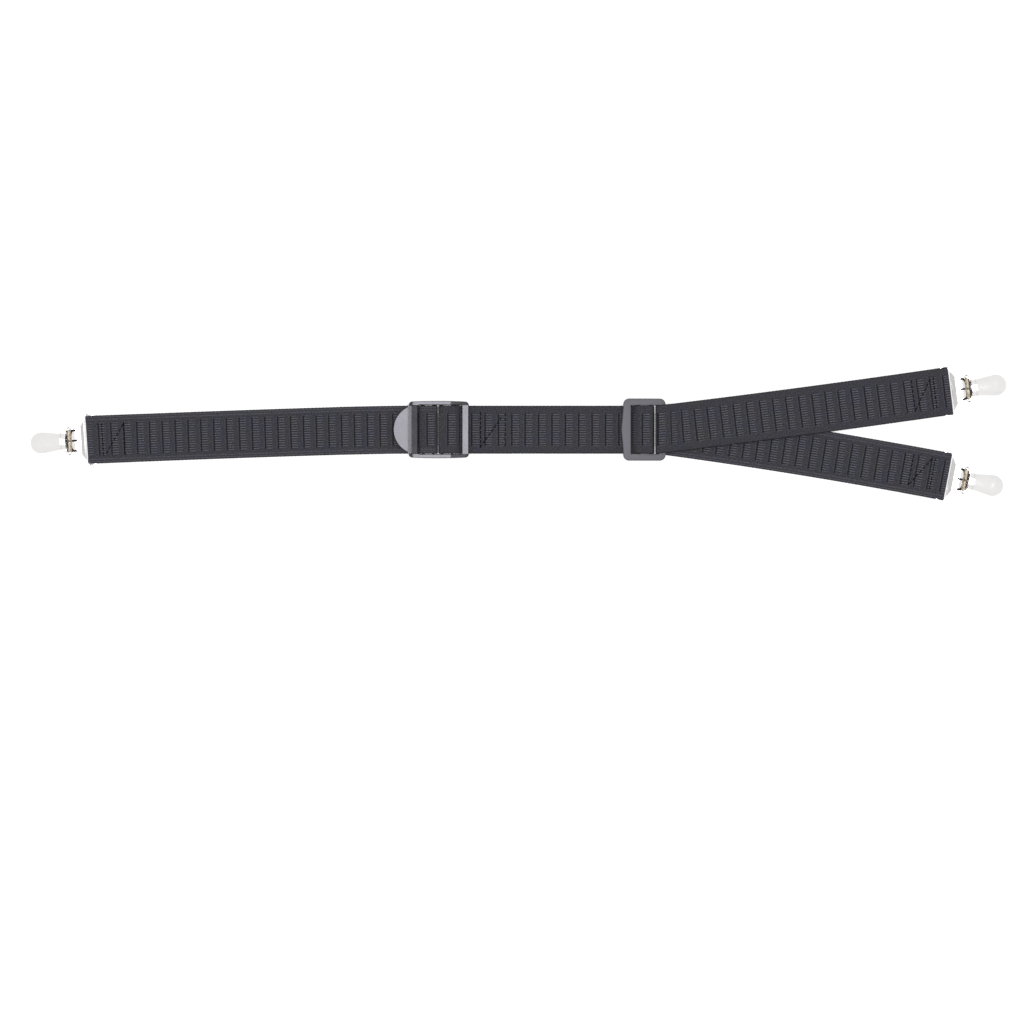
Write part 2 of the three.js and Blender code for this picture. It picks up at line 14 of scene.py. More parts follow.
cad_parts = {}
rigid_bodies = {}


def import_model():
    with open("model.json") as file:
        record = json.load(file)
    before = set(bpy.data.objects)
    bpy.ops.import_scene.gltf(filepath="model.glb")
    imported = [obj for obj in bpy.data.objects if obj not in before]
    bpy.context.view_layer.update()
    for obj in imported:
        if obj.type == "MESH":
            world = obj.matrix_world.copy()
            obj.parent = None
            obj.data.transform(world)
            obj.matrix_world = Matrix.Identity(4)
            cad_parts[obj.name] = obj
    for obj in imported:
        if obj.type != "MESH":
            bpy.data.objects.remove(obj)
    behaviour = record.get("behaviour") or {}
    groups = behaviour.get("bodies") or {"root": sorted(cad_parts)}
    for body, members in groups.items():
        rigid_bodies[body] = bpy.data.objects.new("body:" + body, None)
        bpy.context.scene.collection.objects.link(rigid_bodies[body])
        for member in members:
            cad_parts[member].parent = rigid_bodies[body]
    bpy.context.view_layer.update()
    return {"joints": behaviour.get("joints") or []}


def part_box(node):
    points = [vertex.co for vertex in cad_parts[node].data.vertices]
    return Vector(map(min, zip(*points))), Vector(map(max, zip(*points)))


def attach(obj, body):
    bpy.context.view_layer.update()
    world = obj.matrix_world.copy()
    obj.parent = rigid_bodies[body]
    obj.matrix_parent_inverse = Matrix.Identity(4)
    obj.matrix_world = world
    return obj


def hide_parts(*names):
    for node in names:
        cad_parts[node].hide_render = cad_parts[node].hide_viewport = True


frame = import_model()

mm = 0.001

# Webbing.
web_width = 25 * mm
web_thick = 1.4 * mm
layer_gap = 0.15 * mm
clearance = 0.3 * mm

# Straps in plan: each course has a near leg, its heading, a far leg, its heading and its clip's.
sock_route = (35 * mm, 180, 131.6 * mm, 182.3, 183.8)
upper_route = (77 * mm, 6.8, 76.4 * mm, 8.3, 7.2)
lower_route = (76.5 * mm, -7.6, 76.2 * mm, -10.8, -10.8)
middle_reach = 79 * mm
skew_reach = 24 * mm

# Straps in the side view.
lock_tail = 35 * mm
slide_tail = 40 * mm
lock_hem = 22 * mm
clip_hem = 21 * mm
clip_seam = 7 * mm
step_run = 8 * mm
step_round = 6 * mm
leg_round = 1.2 * mm
hump_round = 2.4 * mm
clip_round = 3 * mm
wrap_round = 1.4 * mm
wrap_fall = 3.4 * mm

# Ladder lock.
lock_front_bar = 4.9 * mm
lock_bar = 6 * mm
lock_end_bar = 3.7 * mm
lock_leg_space = 0.7 * mm
lock_hump_space = 0.4 * mm
lock_fall = 4.7 * mm
lock_rail = 2 * mm
lock_rail_space = 0.35 * mm
lock_rail_bow = 0.35 * mm
lock_bar_height = 3 * mm
lock_bar_low = 2 * mm
lock_rail_low = 1 * mm
lock_rail_high = 6.1 * mm
lock_rail_end = 4.1 * mm
lock_end_high = 5.1 * mm
lock_front_high = 5.3 * mm
lock_front_low = 4.2 * mm
lock_front_round = 1.2 * mm
lock_edge = 0.4 * mm
lock_corner = 2 * mm
tab_reach = 8 * mm
tab_half_width = 12 * mm
tab_thick = 1.6 * mm
tab_tilt = math.radians(6)

# Three-bar slide.
slide_bar = 4.9 * mm
slide_first_gap = 4.9 * mm
slide_centre_bar = 4.9 * mm
slide_second_gap = 4.9 * mm
slide_last_bar = 4.8 * mm
slide_rail = 3.2 * mm
slide_rail_space = 0.45 * mm
slide_point = 1.2 * mm
slide_thick = 2.4 * mm
slide_corner = 3 * mm
slide_edge = 0.45 * mm

# Clip, along from the fold of its strap, with the sheet metal's thickness.
sheet = 0.8 * mm
slot_bar = 1.8 * mm
slot_side = 0.5 * mm
slot_end = 1.8 * mm
slope_start = 0.3 * mm
neck_start = 4.3 * mm
neck_half_width = 6.1 * mm
neck_up = 3 * mm
cheek_start = 5.4 * mm
finger_root = 6.5 * mm
slit_root = 6 * mm
finger_bend = 7.7 * mm
finger_tip = 8.35 * mm
finger_tip_up = 2.55 * mm
finger_half_width = 4.85 * mm
slit_half_width = 0.45 * mm
cheek_outer = 6.5 * mm
cheek_round = 1.7 * mm
jaw_half_width = 4.5 * mm
jaw_tip = 29.4 * mm
pin_along = 10.2 * mm
pin_up = 2.7 * mm
pin_radius = 0.5 * mm
pin_proud = 0.6 * mm
cap_near = 12 * mm
cap_tip = 31.3 * mm
cap_tip_radius = 6.5 * mm
cap_rim = 0.4 * mm
cap_high = 5.4 * mm
cap_wall = 0.8 * mm
barrel_radius = 1.3 * mm
notch_end = 10.6 * mm
arm_low = 1.4 * mm
arm_high = 2.6 * mm
arm_overlap = 1.4 * mm

# Heights of the middle of a strap: on the table, on another layer, and round a clip's bar.
floor_layer = web_thick / 2
top_layer = floor_layer + web_thick + layer_gap
clip_layer = floor_layer + web_thick + 2 * clearance + sheet

# Ladder lock: places along the strap, from the outer edge of its front bar.
lock_rise = lock_front_bar + lock_leg_space + web_thick / 2
lock_bar_a = lock_rise + web_thick / 2 + clearance
lock_drop = lock_bar_a + lock_bar + clearance + web_thick / 2
lock_loop = lock_drop + web_thick + lock_hump_space
lock_bar_b = lock_loop + web_thick / 2 + clearance
lock_end = lock_bar_b + lock_bar + lock_fall
lock_length = lock_end + lock_end_bar
lock_hump = lock_bar_low + lock_bar_height + clearance + web_thick / 2
lock_under = top_layer + web_thick / 2 + clearance

# Slide: places from the outer edge of its first bar. It leans down towards its last bar.
slide_start = lock_length + middle_reach
slide_centre = slide_bar + slide_first_gap
slide_last = slide_centre + slide_centre_bar + slide_second_gap
slide_length = slide_last + slide_last_bar
slide_slope = (web_thick + layer_gap) / (slide_length - slide_bar)
slide_lean = math.atan(slide_slope)
slide_under = lock_under + slide_bar * slide_slope
slide_over = slide_under + slide_thick / math.cos(slide_lean)
slide_hump = slide_over - slide_centre * slide_slope + clearance + web_thick / 2
slide_drop = slide_centre + slide_centre_bar + clearance + web_thick / 2
wrap_start = slide_last - clearance - web_thick / 2
wrap_top = slide_over - slide_last * slide_slope + clearance + web_thick / 2

# The front bar's outer edge on the middle line is where straps and buckles are measured from.
lock_low_corner, lock_high_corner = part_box("ladder_lock")
home = np.array([lock_high_corner.x - lock_length, (lock_low_corner.y + lock_high_corner.y) / 2])

# The lock as photographed. Its rails fall from rail_fall_start. Its front bar starts front_reach
# before them and has a flat crest as far as front_crest, which falls by front_crest_drop.
rail_fall_start = 21.7 * mm
front_reach = 0.6 * mm
front_crest = 1.6 * mm
front_crest_drop = 0.355 * mm

# How round the lock's rails and inner bars are, a rail's least height, how far the outer bars run
# into the rails, and how far the end bar stops short of their ends.
rail_round = 0.27 * mm
bar_round = 1.2 * mm
rail_least_height = 0.6 * mm
bar_overlap = 0.2 * mm
end_inset = 0.1 * mm

# How far the inner side walls of both buckles lean in, and how far the foot of a leg of webbing
# stands past its top, under the lock's hump and in the slide's slit.
wall_lean = 0.3 * mm
hump_lean = 0.47 * mm
slit_lean = 1.74 * mm

# How much further out than in the plain part the webbing's folds reach at the clips.
fold_swell = 1.15 * mm

# The caps and fingers as photographed: the flat band and the step at a cap's near end, the cap's
# fall as a share of its height, and the round finger tips.
cap_band = 2.3 * mm
cap_step = 0.2 * mm
cap_slope = 0.36
finger_round = 0.5 * mm

# The clip's sheet: how far it is drawn in at its loop and beside its fingers, where the cheeks
# run into it, the height of the guessed fold below its neck, the round of its edges, and a
# hair's breadth for telling its faces apart.
loop_inset = 0.5 * mm
ear_inset = 0.1 * mm
ear_reach = 0.9 * mm
cheek_overlap = 0.2 * mm
fold_rise = 0.1 * mm
metal_edge = 0.15 * mm
hair = 0.05 * mm

# Painted shade on bright metal, from 0 for none to 1.
pin_painted_shade = 0.93
bend_painted_shade = 0.985
slope_painted_shade = 0.3
side_painted_shade = 0.8
hollow_painted_shade = 0.9
step_painted_shade = 0.2
rim_painted_shade = 0.5

# A ladder line on each strap, along its course, and the ladder's pitch there, off the photograph.
sock_line = 115.4 * mm
sock_pitch = 6.68 * mm
middle_line = 53.7 * mm
middle_pitch = 6.97 * mm
upper_line = 27.5 * mm
upper_pitch = 6.88 * mm
lower_line = 87.4 * mm
lower_pitch = 6.98 * mm

# Stitching: its thread, and its lines from a clip's fold and from the lock, along and across.
stitch_length = 1.8 * mm
stitch_pitch = 2.5 * mm
stitch_radius = 0.26 * mm
clip_stitching = (
    ((7.2 * mm, -8.6 * mm), (7.2 * mm, 8.6 * mm)),
    ((18.6 * mm, -8.6 * mm), (18.6 * mm, 8.6 * mm)),
    ((8.6 * mm, 8 * mm), (18.4 * mm, -7.7 * mm)),
)
lock_stitching = (
    ((37.5 * mm, -9.9 * mm), (37.5 * mm, 9.4 * mm)),
    ((50.3 * mm, -9 * mm), (50.3 * mm, 9 * mm)),
    ((36.9 * mm, -9.6 * mm), (48.8 * mm, 6.8 * mm)),
)

# Weave: the ladder's repeat, its band and grooves, the ribs in a rung, the cords and waves of the
# selvedges, and the room that they all have below the strap's own surface.
ladder_pitch = 6.7 * mm
ladder_half_width = 8.5 * mm
groove_width = 0.6 * mm
groove_depth = 0.26 * mm
band_edge = (0.3 * mm, 0.2 * mm)
rung_length = 4.1 * mm
# Where the painted highlight on the ridge before each groove starts and ends, back from the next
# groove.
light_line = (0.75 * mm, 0.15 * mm)
rib_pitch = 1.25 * mm
rib_height = 0.1 * mm
cord_places = (10.3 * mm, 11.6 * mm)
cord_height = 0.09 * mm
cord_width = 0.34 * mm
ridge_place = 0.35 * mm
ridge_width = 0.3 * mm
ridge_height = 0.05 * mm
relief_room = 0.08 * mm
scallop_pitch = 1.9 * mm
scallop_height = 0.05 * mm

# How light the woven parts are, with painted highlights on the ridge line, cords and rib crests and
# painted shade between ribs and in the grooves, and where the uncorded face lies across in the chart.
cloth_light = 0.036
line_highlight = 0.009
cord_highlight = 0.022
rib_highlight = 0.068
rib_shade = 0.014
groove_shade = 0.002
groove_glint = 0.018
plain_shift = 4 * web_width

# How upright a strap is where its painted shade starts, and where that shade is darkest.
steep_turn = (0.8, 1.0)

# Fineness of the webbing's skin.
along_step = 0.4 * mm
long_step = 0.52 * mm
fine_columns = 76
plain_columns = 36
even_columns = 60
edge_columns = 5
course_points = 1500
arc_points = 24


class Link:
    """A socket in a material. Sums and products of links add the Math nodes they need."""

    def __init__(self, finish, socket):
        self.finish = finish
        self.socket = socket

    def maths(self, operation, *values):
        return self.finish.node("ShaderNodeMath", {"operation": operation}, dict(enumerate(values)))

    def __add__(self, other):
        return self.maths("ADD", self, other)

    def __radd__(self, other):
        return self.maths("ADD", other, self)

    def __sub__(self, other):
        return self.maths("SUBTRACT", self, other)

    def __rsub__(self, other):
        return self.maths("SUBTRACT", other, self)

    def __mul__(self, other):
        return self.maths("MULTIPLY", self, other)

    def __rmul__(self, other):
        return self.maths("MULTIPLY", other, self)

    def sine(self):
        return self.maths("SINE", self)

    def size(self):
        return self.maths("ABSOLUTE", self)

    def wrapped(self, pitch):
        return self.maths("FLOORED_MODULO", self, pitch)

    def above(self, level):
        return self.maths("GREATER_THAN", self, level)

    def ramped(self, start, end):
        """0 before start and 1 past end, with an easy rise between them."""
        sockets = {"Value": self, "From Min": start, "From Max": end}
        return self.finish.node("ShaderNodeMapRange", {"interpolation_type": "SMOOTHSTEP"}, sockets)


class Finish:
    """A material whose nodes are added one after another, ending in one Principled shader."""

    def __init__(self, name):
        self.material = bpy.data.materials.new(name)
        self.material.use_nodes = True
        self.tree = self.material.node_tree
        self.shader = self.tree.nodes["Principled BSDF"]

    def node(self, kind, settings, sockets, output=0):
        """Add a node, set its settings, feed its sockets, and hand back one of its outputs."""
        added = self.tree.nodes.new(kind)
        for key, value in settings.items():
            setattr(added, key, value)
        for key, value in sockets.items():
            self.feed(added.inputs[key], value)
        return Link(self, added.outputs[output])

    def feed(self, socket, value):
        if isinstance(value, Link):
            self.tree.links.new(value.socket, socket)
        else:
            socket.default_value = value

    def surface(self, **sockets):
        """Feed the shader's own sockets, named with underscores for spaces."""
        for key, value in sockets.items():
            self.feed(self.shader.inputs[key.replace("_", " ")], value)
        return self.material

    def place(self):
        return self.node("ShaderNodeTexCoord", {}, {}, "Object")

    def noise(self, vector, scale, detail=2, roughness=0.5):
        sockets = {"Vector": vector, "Scale": scale, "Detail": detail, "Roughness": roughness}
        return self.node("ShaderNodeTexNoise", {}, sockets)

    def mixed(self, factor, first, second):
        """Two colours mixed: the Mix node's colour sockets are its seventh, eighth and third."""
        return self.node("ShaderNodeMix", {"data_type": "RGBA"}, {0: factor, 6: first, 7: second}, 2)

    def tinted(self, colour, level):
        """The colour, made this light."""
        sockets = {0: colour, "Scale": level}
        return self.node("ShaderNodeVectorMath", {"operation": "SCALE"}, sockets)

    def bump(self, height, distance, strength=1.0):
        sockets = {"Height": height, "Distance": distance, "Strength": strength}
        return self.node("ShaderNodeBump", {}, sockets)


def webbing_finish():
    """Black ribbed elastic: dark dotted lines, light ribs beside them, and corded selvedges, painted
    in as the relief's light and shade, with painted shade at the edges and on steep turns.
    """
    finish = Finish("black_ribbed_webbing")
    chart = finish.node("ShaderNodeUVMap", {"uv_map": "UVMap"}, {})
    along = finish.node("ShaderNodeSeparateXYZ", {}, {"Vector": chart}, "X")
    side = finish.node("ShaderNodeSeparateXYZ", {}, {"Vector": chart}, "Y")
    turns = finish.node("ShaderNodeUVMap", {"uv_map": "turns"}, {})
    steep = finish.node("ShaderNodeSeparateXYZ", {}, {"Vector": turns}, "X")
    plain = side.above(plain_shift / 2)
    across = side - plain * plain_shift
    reach = across.size()
    phase = along.wrapped(ladder_pitch)
    band = 1 - reach.ramped(ladder_half_width - band_edge[0], ladder_half_width + band_edge[1])
    dots = (across * (2 * math.pi / rib_pitch)).sine() * 0.5 + 0.5
    groove = (1 - phase.ramped(groove_width * 0.8, groove_width * 1.4)) * band
    rung = phase.ramped(groove_width, groove_width * 1.6)
    rung = rung * (1 - phase.ramped(rung_length - 0.5 * mm, rung_length)) * band
    before, after = (ladder_pitch - distance for distance in light_line)
    pale = phase.ramped(before, before + 0.2 * mm)
    pale = pale * (1 - phase.ramped(after - 0.2 * mm, after)) * band
    flecks = finish.noise(chart, 1300, 3, 0.65).ramped(0.3, 0.7)
    patches = finish.noise(chart, 90, 2).ramped(0.4, 0.65)
    yarn = (across * (2 * math.pi / (0.42 * mm))).sine() * (along * (2 * math.pi / (0.62 * mm))).sine()
    # The ladder's light line is a painted highlight on the raised ridge before each groove.
    level = cloth_light + pale * line_highlight
    # Painted highlight along each cord of the corded selvedge.
    for place in cord_places:
        cord = 1 - (reach - place).size().ramped(0.15 * mm, 0.4 * mm)
        level = level + cord * (1 - plain) * cord_highlight
    # Painted highlight on the rib crests of a rung, painted shade between them.
    level = level + rung * (dots * dots * rib_highlight - rib_shade)
    # Painted shade in the grooves, with painted glints at the rib dots.
    level = level * (1 - groove) + groove * (groove_shade + dots * groove_glint)
    # Flecks are the yarn's random tone; the outer edges get painted shade.
    level = level * (flecks * 0.76 + 0.53) * (1 - reach.ramped(11.9 * mm, 12.3 * mm) * 0.8)
    # Painted shade where the strap turns steeply down.
    level = level * (1 - steep * 0.9)
    grey = finish.tinted((1.0, 0.96, 1.1), level)
    violet = finish.tinted((0.9, 0.92, 1.3), level)
    return finish.surface(
        Base_Color=finish.mixed(patches * 0.6, grey, violet),
        Roughness=0.92,
        Specular_IOR_Level=0.1,
        Sheen_Weight=0.05,
        Sheen_Roughness=0.6,
        Normal=finish.bump(yarn * 0.35 + flecks * 0.5, 0.07 * mm, 0.7),
    )


def thread_finish():
    """Black sewing thread with a twist."""
    finish = Finish("black_sewing_thread")
    place = finish.place()
    twist = finish.node(
        "ShaderNodeTexWave",
        {"wave_type": "BANDS", "bands_direction": "DIAGONAL"},
        {"Vector": place, "Scale": 1400},
    )
    colour = finish.mixed(twist, (0.001, 0.001, 0.002, 1), (0.006, 0.006, 0.009, 1))
    return finish.surface(
        Base_Color=colour,
        Roughness=0.9,
        Specular_IOR_Level=0.05,
        Normal=finish.bump(twist, 0.05 * mm),
    )


def plastic_finish(name, deep, light, roughness, grain, shine):
    """Black moulded plastic, with a fine grain and a faint cloudiness."""
    finish = Finish(name)
    place = finish.place()
    fine = finish.noise(place, 2600, 3, 0.6)
    clouds = finish.noise(place, 160, 3, 0.5)
    colour = finish.mixed(clouds.ramped(0.3, 0.7), deep, light)
    rough = roughness + clouds * 0.1 + fine * grain
    return finish.surface(
        Base_Color=colour,
        Roughness=rough,
        Specular_IOR_Level=shine,
        Specular_Tint=(0.93, 0.91, 1, 1),
        Normal=finish.bump(fine, 0.03 * mm, 0.45),
    )


def nickel_finish():
    """Bright nickel plate with faint handling haze."""
    finish = Finish("bright_nickel_plate")
    place = finish.place()
    haze = finish.noise(place, 220, 4, 0.6)
    ripple = finish.noise(place, 420, 2, 0.5)
    plated = finish.mixed(haze.ramped(0.35, 0.8), (0.985, 0.965, 0.955, 1), (0.92, 0.905, 0.9, 1))
    # Painted shade: the plate is darkened towards near black by each vertex's painted shade.
    painted_shade = finish.node("ShaderNodeAttribute", {"attribute_name": "painted_shade"}, {}, "Fac")
    colour = finish.mixed(painted_shade, plated, (0.05, 0.045, 0.045, 1))
    return finish.surface(
        Base_Color=colour,
        Metallic=1.0,
        Roughness=0.1 + haze.ramped(0.4, 0.75) * 0.1,
        Normal=finish.bump(ripple, 0.02 * mm, 0.1),
    )


def raw_metal_finish():
    """The dull, brassy inside of the clips, where the plating is thin."""
    finish = Finish("thin_plated_inside")
    place = finish.place()
    mottle = finish.noise(place, 900, 4, 0.65)
    colour = finish.mixed(mottle.ramped(0.35, 0.7), (0.20, 0.16, 0.11, 1), (0.58, 0.53, 0.43, 1))
    return finish.surface(Base_Color=colour, Metallic=0.6, Roughness=0.45 + mottle * 0.2)


def inside_shade_finish():
    """Painted shade for the inside of a clip's mouth: dark, faintly mottled."""
    finish = Finish("painted_shade_inside")
    shade_noise = finish.noise(finish.place(), 1200, 3, 0.6)
    colour = finish.mixed(shade_noise, (0.012, 0.008, 0.01, 1), (0.045, 0.03, 0.033, 1))
    return finish.surface(Base_Color=colour, Roughness=0.5 + shade_noise * 0.2, Specular_IOR_Level=0.15)


webbing = webbing_finish()
thread = thread_finish()
lock_plastic = plastic_finish(
    "glossy_black_plastic", (0.005, 0.005, 0.006, 1), (0.01, 0.01, 0.012, 1), 0.12, 0.12, 0.62
)
slide_plastic = plastic_finish(
    "satin_black_plastic", (0.028, 0.028, 0.032, 1), (0.04, 0.04, 0.045, 1), 0.44, 0.1, 0.9
)
nickel = nickel_finish()
raw_metal = raw_metal_finish()
inside_shade = inside_shade_finish()


def deselect_all():
    bpy.ops.object.select_all(action="DESELECT")


def newest(name):
    """The object that an operator just added, named and the only one selected."""
    piece = bpy.context.active_object
    piece.name = name
    piece.data.name = name
    return piece


def choose(*pieces):
    """Select these objects alone; the first one is the active one."""
    deselect_all()
    for piece in pieces:
        piece.select_set(True)
    bpy.context.view_layer.objects.active = pieces[0]


def finished_by(piece, kind, **settings):
    """Add a modifier, set it and apply it."""
    choose(piece)
    modifier = piece.modifiers.new(kind.lower(), kind)
    for key, value in settings.items():
        setattr(modifier, key, value)
    bpy.ops.object.modifier_apply(modifier=modifier.name)
    return piece


def cut_by(piece, cutter):
    """Cut one closed piece out of another, which uses the cutter up."""
    finished_by(piece, "BOOLEAN", object=cutter, operation="DIFFERENCE", solver="EXACT")
    bpy.data.objects.remove(cutter)
    return piece


def fused(piece, *others):
    """Join closed pieces that overlap into one skin."""
    for other in others:
        finished_by(piece, "BOOLEAN", object=other, operation="UNION", solver="EXACT")
        bpy.data.objects.remove(other)
    return piece


def with_round_edges(piece, radius, segments=3, angle=35):
    return finished_by(
        piece,
        "BEVEL",
        width=radius,
        segments=segments,
        limit_method="ANGLE",
        angle_limit=math.radians(angle),
        use_clamp_overlap=True,
        harden_normals=False,
    )


def smoothed(piece, angle=35):
    choose(piece)
    bpy.ops.object.shade_smooth_by_angle(angle=math.radians(angle))
    return piece


def plate(name, outline, low, high):
    """A flat plate with this outline: a round blank whose edge is moved onto it, then thickened."""
    deselect_all()
    bpy.ops.mesh.primitive_circle_add(vertices=len(outline), fill_type="NGON")
    piece = newest(name)
    for vertex, (x, y) in zip(piece.data.vertices, outline):
        vertex.co = (x, y, low)
    bpy.ops.object.mode_set(mode="EDIT")
    bpy.ops.mesh.select_all(action="SELECT")
    bpy.ops.mesh.extrude_region_move(TRANSFORM_OT_translate={"value": (0, 0, high - low)})
    bpy.ops.mesh.select_all(action="SELECT")
    bpy.ops.mesh.normals_make_consistent(inside=False)
    bpy.ops.object.mode_set(mode="OBJECT")
    return piece


def upright_plate(name, outline, near, far):
    """A plate with this side-view outline (along, up), which stands across from near to far."""
    piece = plate(name, outline, near, far)
    piece.data.transform(Matrix(((1, 0, 0, 0), (0, 0, 1, 0), (0, 1, 0, 0), (0, 0, 0, 1))))
    piece.data.flip_normals()
    return piece


def rolled_skin(name, rings, steps, place):
    """A closed skin: a grid rolled into a tube, with each vertex at place(ring, step)."""
    deselect_all()
    bpy.ops.mesh.primitive_grid_add(x_subdivisions=rings, y_subdivisions=steps, size=1)
    piece = newest(name)
    mesh = piece.data
    flat = np.empty(len(mesh.vertices) * 3)
    mesh.vertices.foreach_get("co", flat)
    flat = flat.reshape(-1, 3)
    ring = np.rint((flat[:, 0] + 0.5) * rings).astype(int)
    step = np.rint((flat[:, 1] + 0.5) * steps).astype(int)
    mesh.vertices.foreach_set("co", place(ring, step).ravel())
    mesh.update()
    bpy.ops.object.mode_set(mode="EDIT")
    bpy.ops.mesh.select_all(action="SELECT")
    bpy.ops.mesh.remove_doubles(threshold=1e-6)
    bpy.ops.mesh.select_all(action="SELECT")
    bpy.ops.mesh.fill_holes(sides=0)
    bpy.ops.mesh.select_all(action="SELECT")
    bpy.ops.mesh.normals_make_consistent(inside=False)
    bpy.ops.object.mode_set(mode="OBJECT")
    return piece


def painted(piece, *materials):
    piece.data.materials.clear()
    for material in materials:
        piece.data.materials.append(material)
    return piece


def rounded_line(corners):
    """Fine points along a side-view line whose corners (along, up, radius) are rounded by arcs."""
    spots = [np.array(corner[:2]) for corner in corners]
    rounds = [corner[2] if len(corner) > 2 else 0 for corner in corners]
    halves = []
    for i, radius in enumerate(rounds):
        if radius:
            back = spots[i - 1] - spots[i]
            ahead = spots[i + 1] - spots[i]
            cosine = back @ ahead / np.linalg.norm(back) / np.linalg.norm(ahead)
            halves.append(math.acos(np.clip(cosine, -1, 1)) / 2)
        else:
            halves.append(math.pi / 2)
    reaches = [radius / math.tan(half) for radius, half in zip(rounds, halves)]
    fits = []
    for i in range(len(spots) - 1):
        needed = reaches[i] + reaches[i + 1]
        span = np.linalg.norm(spots[i + 1] - spots[i])
        fits.append(min(1, span / needed) if needed else 1)
    points = []
    for i, here in enumerate(spots):
        if not rounds[i]:
            points.append(here)
            continue
        fit = min(fits[i - 1], fits[i])
        back = spots[i - 1] - here
        back = back / np.linalg.norm(back)
        ahead = spots[i + 1] - here
        ahead = ahead / np.linalg.norm(ahead)
        inwards = (back + ahead) / np.linalg.norm(back + ahead)
        centre = here + inwards * fit * rounds[i] / math.sin(halves[i])
        spoke = here + back * fit * reaches[i] - centre
        turn = (2 * halves[i] - math.pi) * np.sign(back[0] * ahead[1] - back[1] * ahead[0])
        for angle in np.linspace(0, turn, arc_points):
            cosine, sine = math.cos(angle), math.sin(angle)
            swung = (spoke[0] * cosine - spoke[1] * sine, spoke[0] * sine + spoke[1] * cosine)
            points.append(centre + np.array(swung))
    return np.array(points)


def evenly(points, step):
    """The same line as points a step apart, with the distance of each along the line."""
    gaps = np.linalg.norm(np.diff(points, axis=0), axis=1)
    travelled = np.concatenate([[0], np.cumsum(gaps)])
    count = int(travelled[-1] / step) + 1
    places = np.linspace(0, travelled[-1], count)
    return np.column_stack([np.interp(places, travelled, points[:, k]) for k in (0, 1)]), places


def heading_vector(heading):
    angle = math.radians(heading)
    return np.array([math.cos(angle), math.sin(angle)])


class Course:
    """A strap's course in plan: two legs with one easy bend, squared to the folds at its ends."""

    def __init__(self, start, route, near_fold):
        near_leg, near_heading, far_leg, far_heading, clip_heading = route
        bend = start + heading_vector(near_heading) * near_leg
        end = bend + heading_vector(far_heading) * far_leg
        share = np.linspace(0, 1, course_points)[:, None]
        self.curve = (1 - share) ** 2 * start + 2 * share * (1 - share) * bend + share**2 * end
        slopes = 2 * (1 - share) * (bend - start) + 2 * share * (end - bend)
        self.slopes = slopes / np.linalg.norm(slopes, axis=1)[:, None]
        gaps = np.linalg.norm(np.diff(self.curve, axis=0), axis=1)
        self.travelled = np.concatenate([[0], np.cumsum(gaps)])
        self.length = self.travelled[-1]
        self.near_slant = math.tan(math.radians(near_heading - near_fold))
        self.far_slant = math.tan(math.radians(far_heading - clip_heading))

    @staticmethod
    def share(distance):
        ratio = np.clip(distance / skew_reach, 0, 1)
        return 1 - ratio * ratio * (3 - 2 * ratio)

    def at(self, along, across):
        """Plan positions of the points this far along and across the strap."""
        slant = self.near_slant * self.share(along) + self.far_slant * self.share(self.length - along)
        travel = along + across * slant
        inside = np.clip(travel, 0, self.length)
        spot = np.stack([np.interp(inside, self.travelled, self.curve[:, k]) for k in (0, 1)], -1)
        slope = np.stack([np.interp(inside, self.travelled, self.slopes[:, k]) for k in (0, 1)], -1)
        side = np.stack([-slope[..., 1], slope[..., 0]], -1)
        return spot + slope * (travel - inside)[..., None] + side * across[..., None]


def clip_corners(length):
    turn = (clip_layer - floor_layer) / 2
    fold = length - web_thick / 2 + fold_swell
    return [
        (length - clip_seam, top_layer, clip_round),
        (length - clip_seam / 2, clip_layer, clip_round),
        (fold, clip_layer, turn),
        (fold, floor_layer, turn),
        (length - clip_hem, floor_layer),
    ]


def step_up(along):
    return [(along - step_run, floor_layer, step_round), (along, top_layer, step_round)]


def sock_corners(length):
    return [
        (lock_tail, floor_layer),
        (-lock_drop - hump_lean, floor_layer, leg_round),
        (-lock_drop, lock_hump, hump_round),
        (-lock_rise, lock_hump, hump_round),
        (-lock_rise, top_layer, leg_round),
        (lock_tail, top_layer, step_round),
        (lock_tail + step_run, floor_layer, step_round),
        *step_up(length - clip_hem),
        *clip_corners(length),
    ]


def middle_corners():
    fall_start = lock_bar_b + lock_bar + web_thick / 2
    fall_end = lock_end - web_thick / 2 - clearance
    climb_start = slide_start + slide_bar + web_thick
    climb_end = slide_start + slide_centre - web_thick / 2
    return [
        (lock_length + lock_hem, floor_layer),
        (lock_loop, floor_layer, leg_round),
        (lock_loop, lock_hump, hump_round),
        (fall_start, lock_hump, leg_round),
        (fall_end, top_layer, leg_round),
        (climb_start, top_layer, leg_round),
        (climb_end, slide_hump, leg_round),
        (slide_start + slide_drop, slide_hump - slide_slope * mm, leg_round),
        (slide_start + slide_drop + slit_lean, floor_layer, leg_round),
        (slide_start - slide_tail, floor_layer),
    ]


def upper_arm_corners(length):
    bar_end = slide_length - wrap_start
    return [
        (0, (wrap_top + floor_layer) / 2),
        (0, wrap_top, wrap_round),
        (bar_end, wrap_top - bar_end * slide_slope, leg_round),
        (bar_end + wrap_fall, top_layer, leg_round),
        *clip_corners(length),
    ]


def lower_arm_corners(length):
    return [
        (0, (wrap_top + floor_layer) / 2),
        (0, floor_layer, wrap_round),
        *step_up(length - clip_hem),
        *clip_corners(length),
    ]


def eased(value, start, end):
    ratio = np.clip((value - start) / (end - start), 0, 1)
    return ratio * ratio * (3 - 2 * ratio)


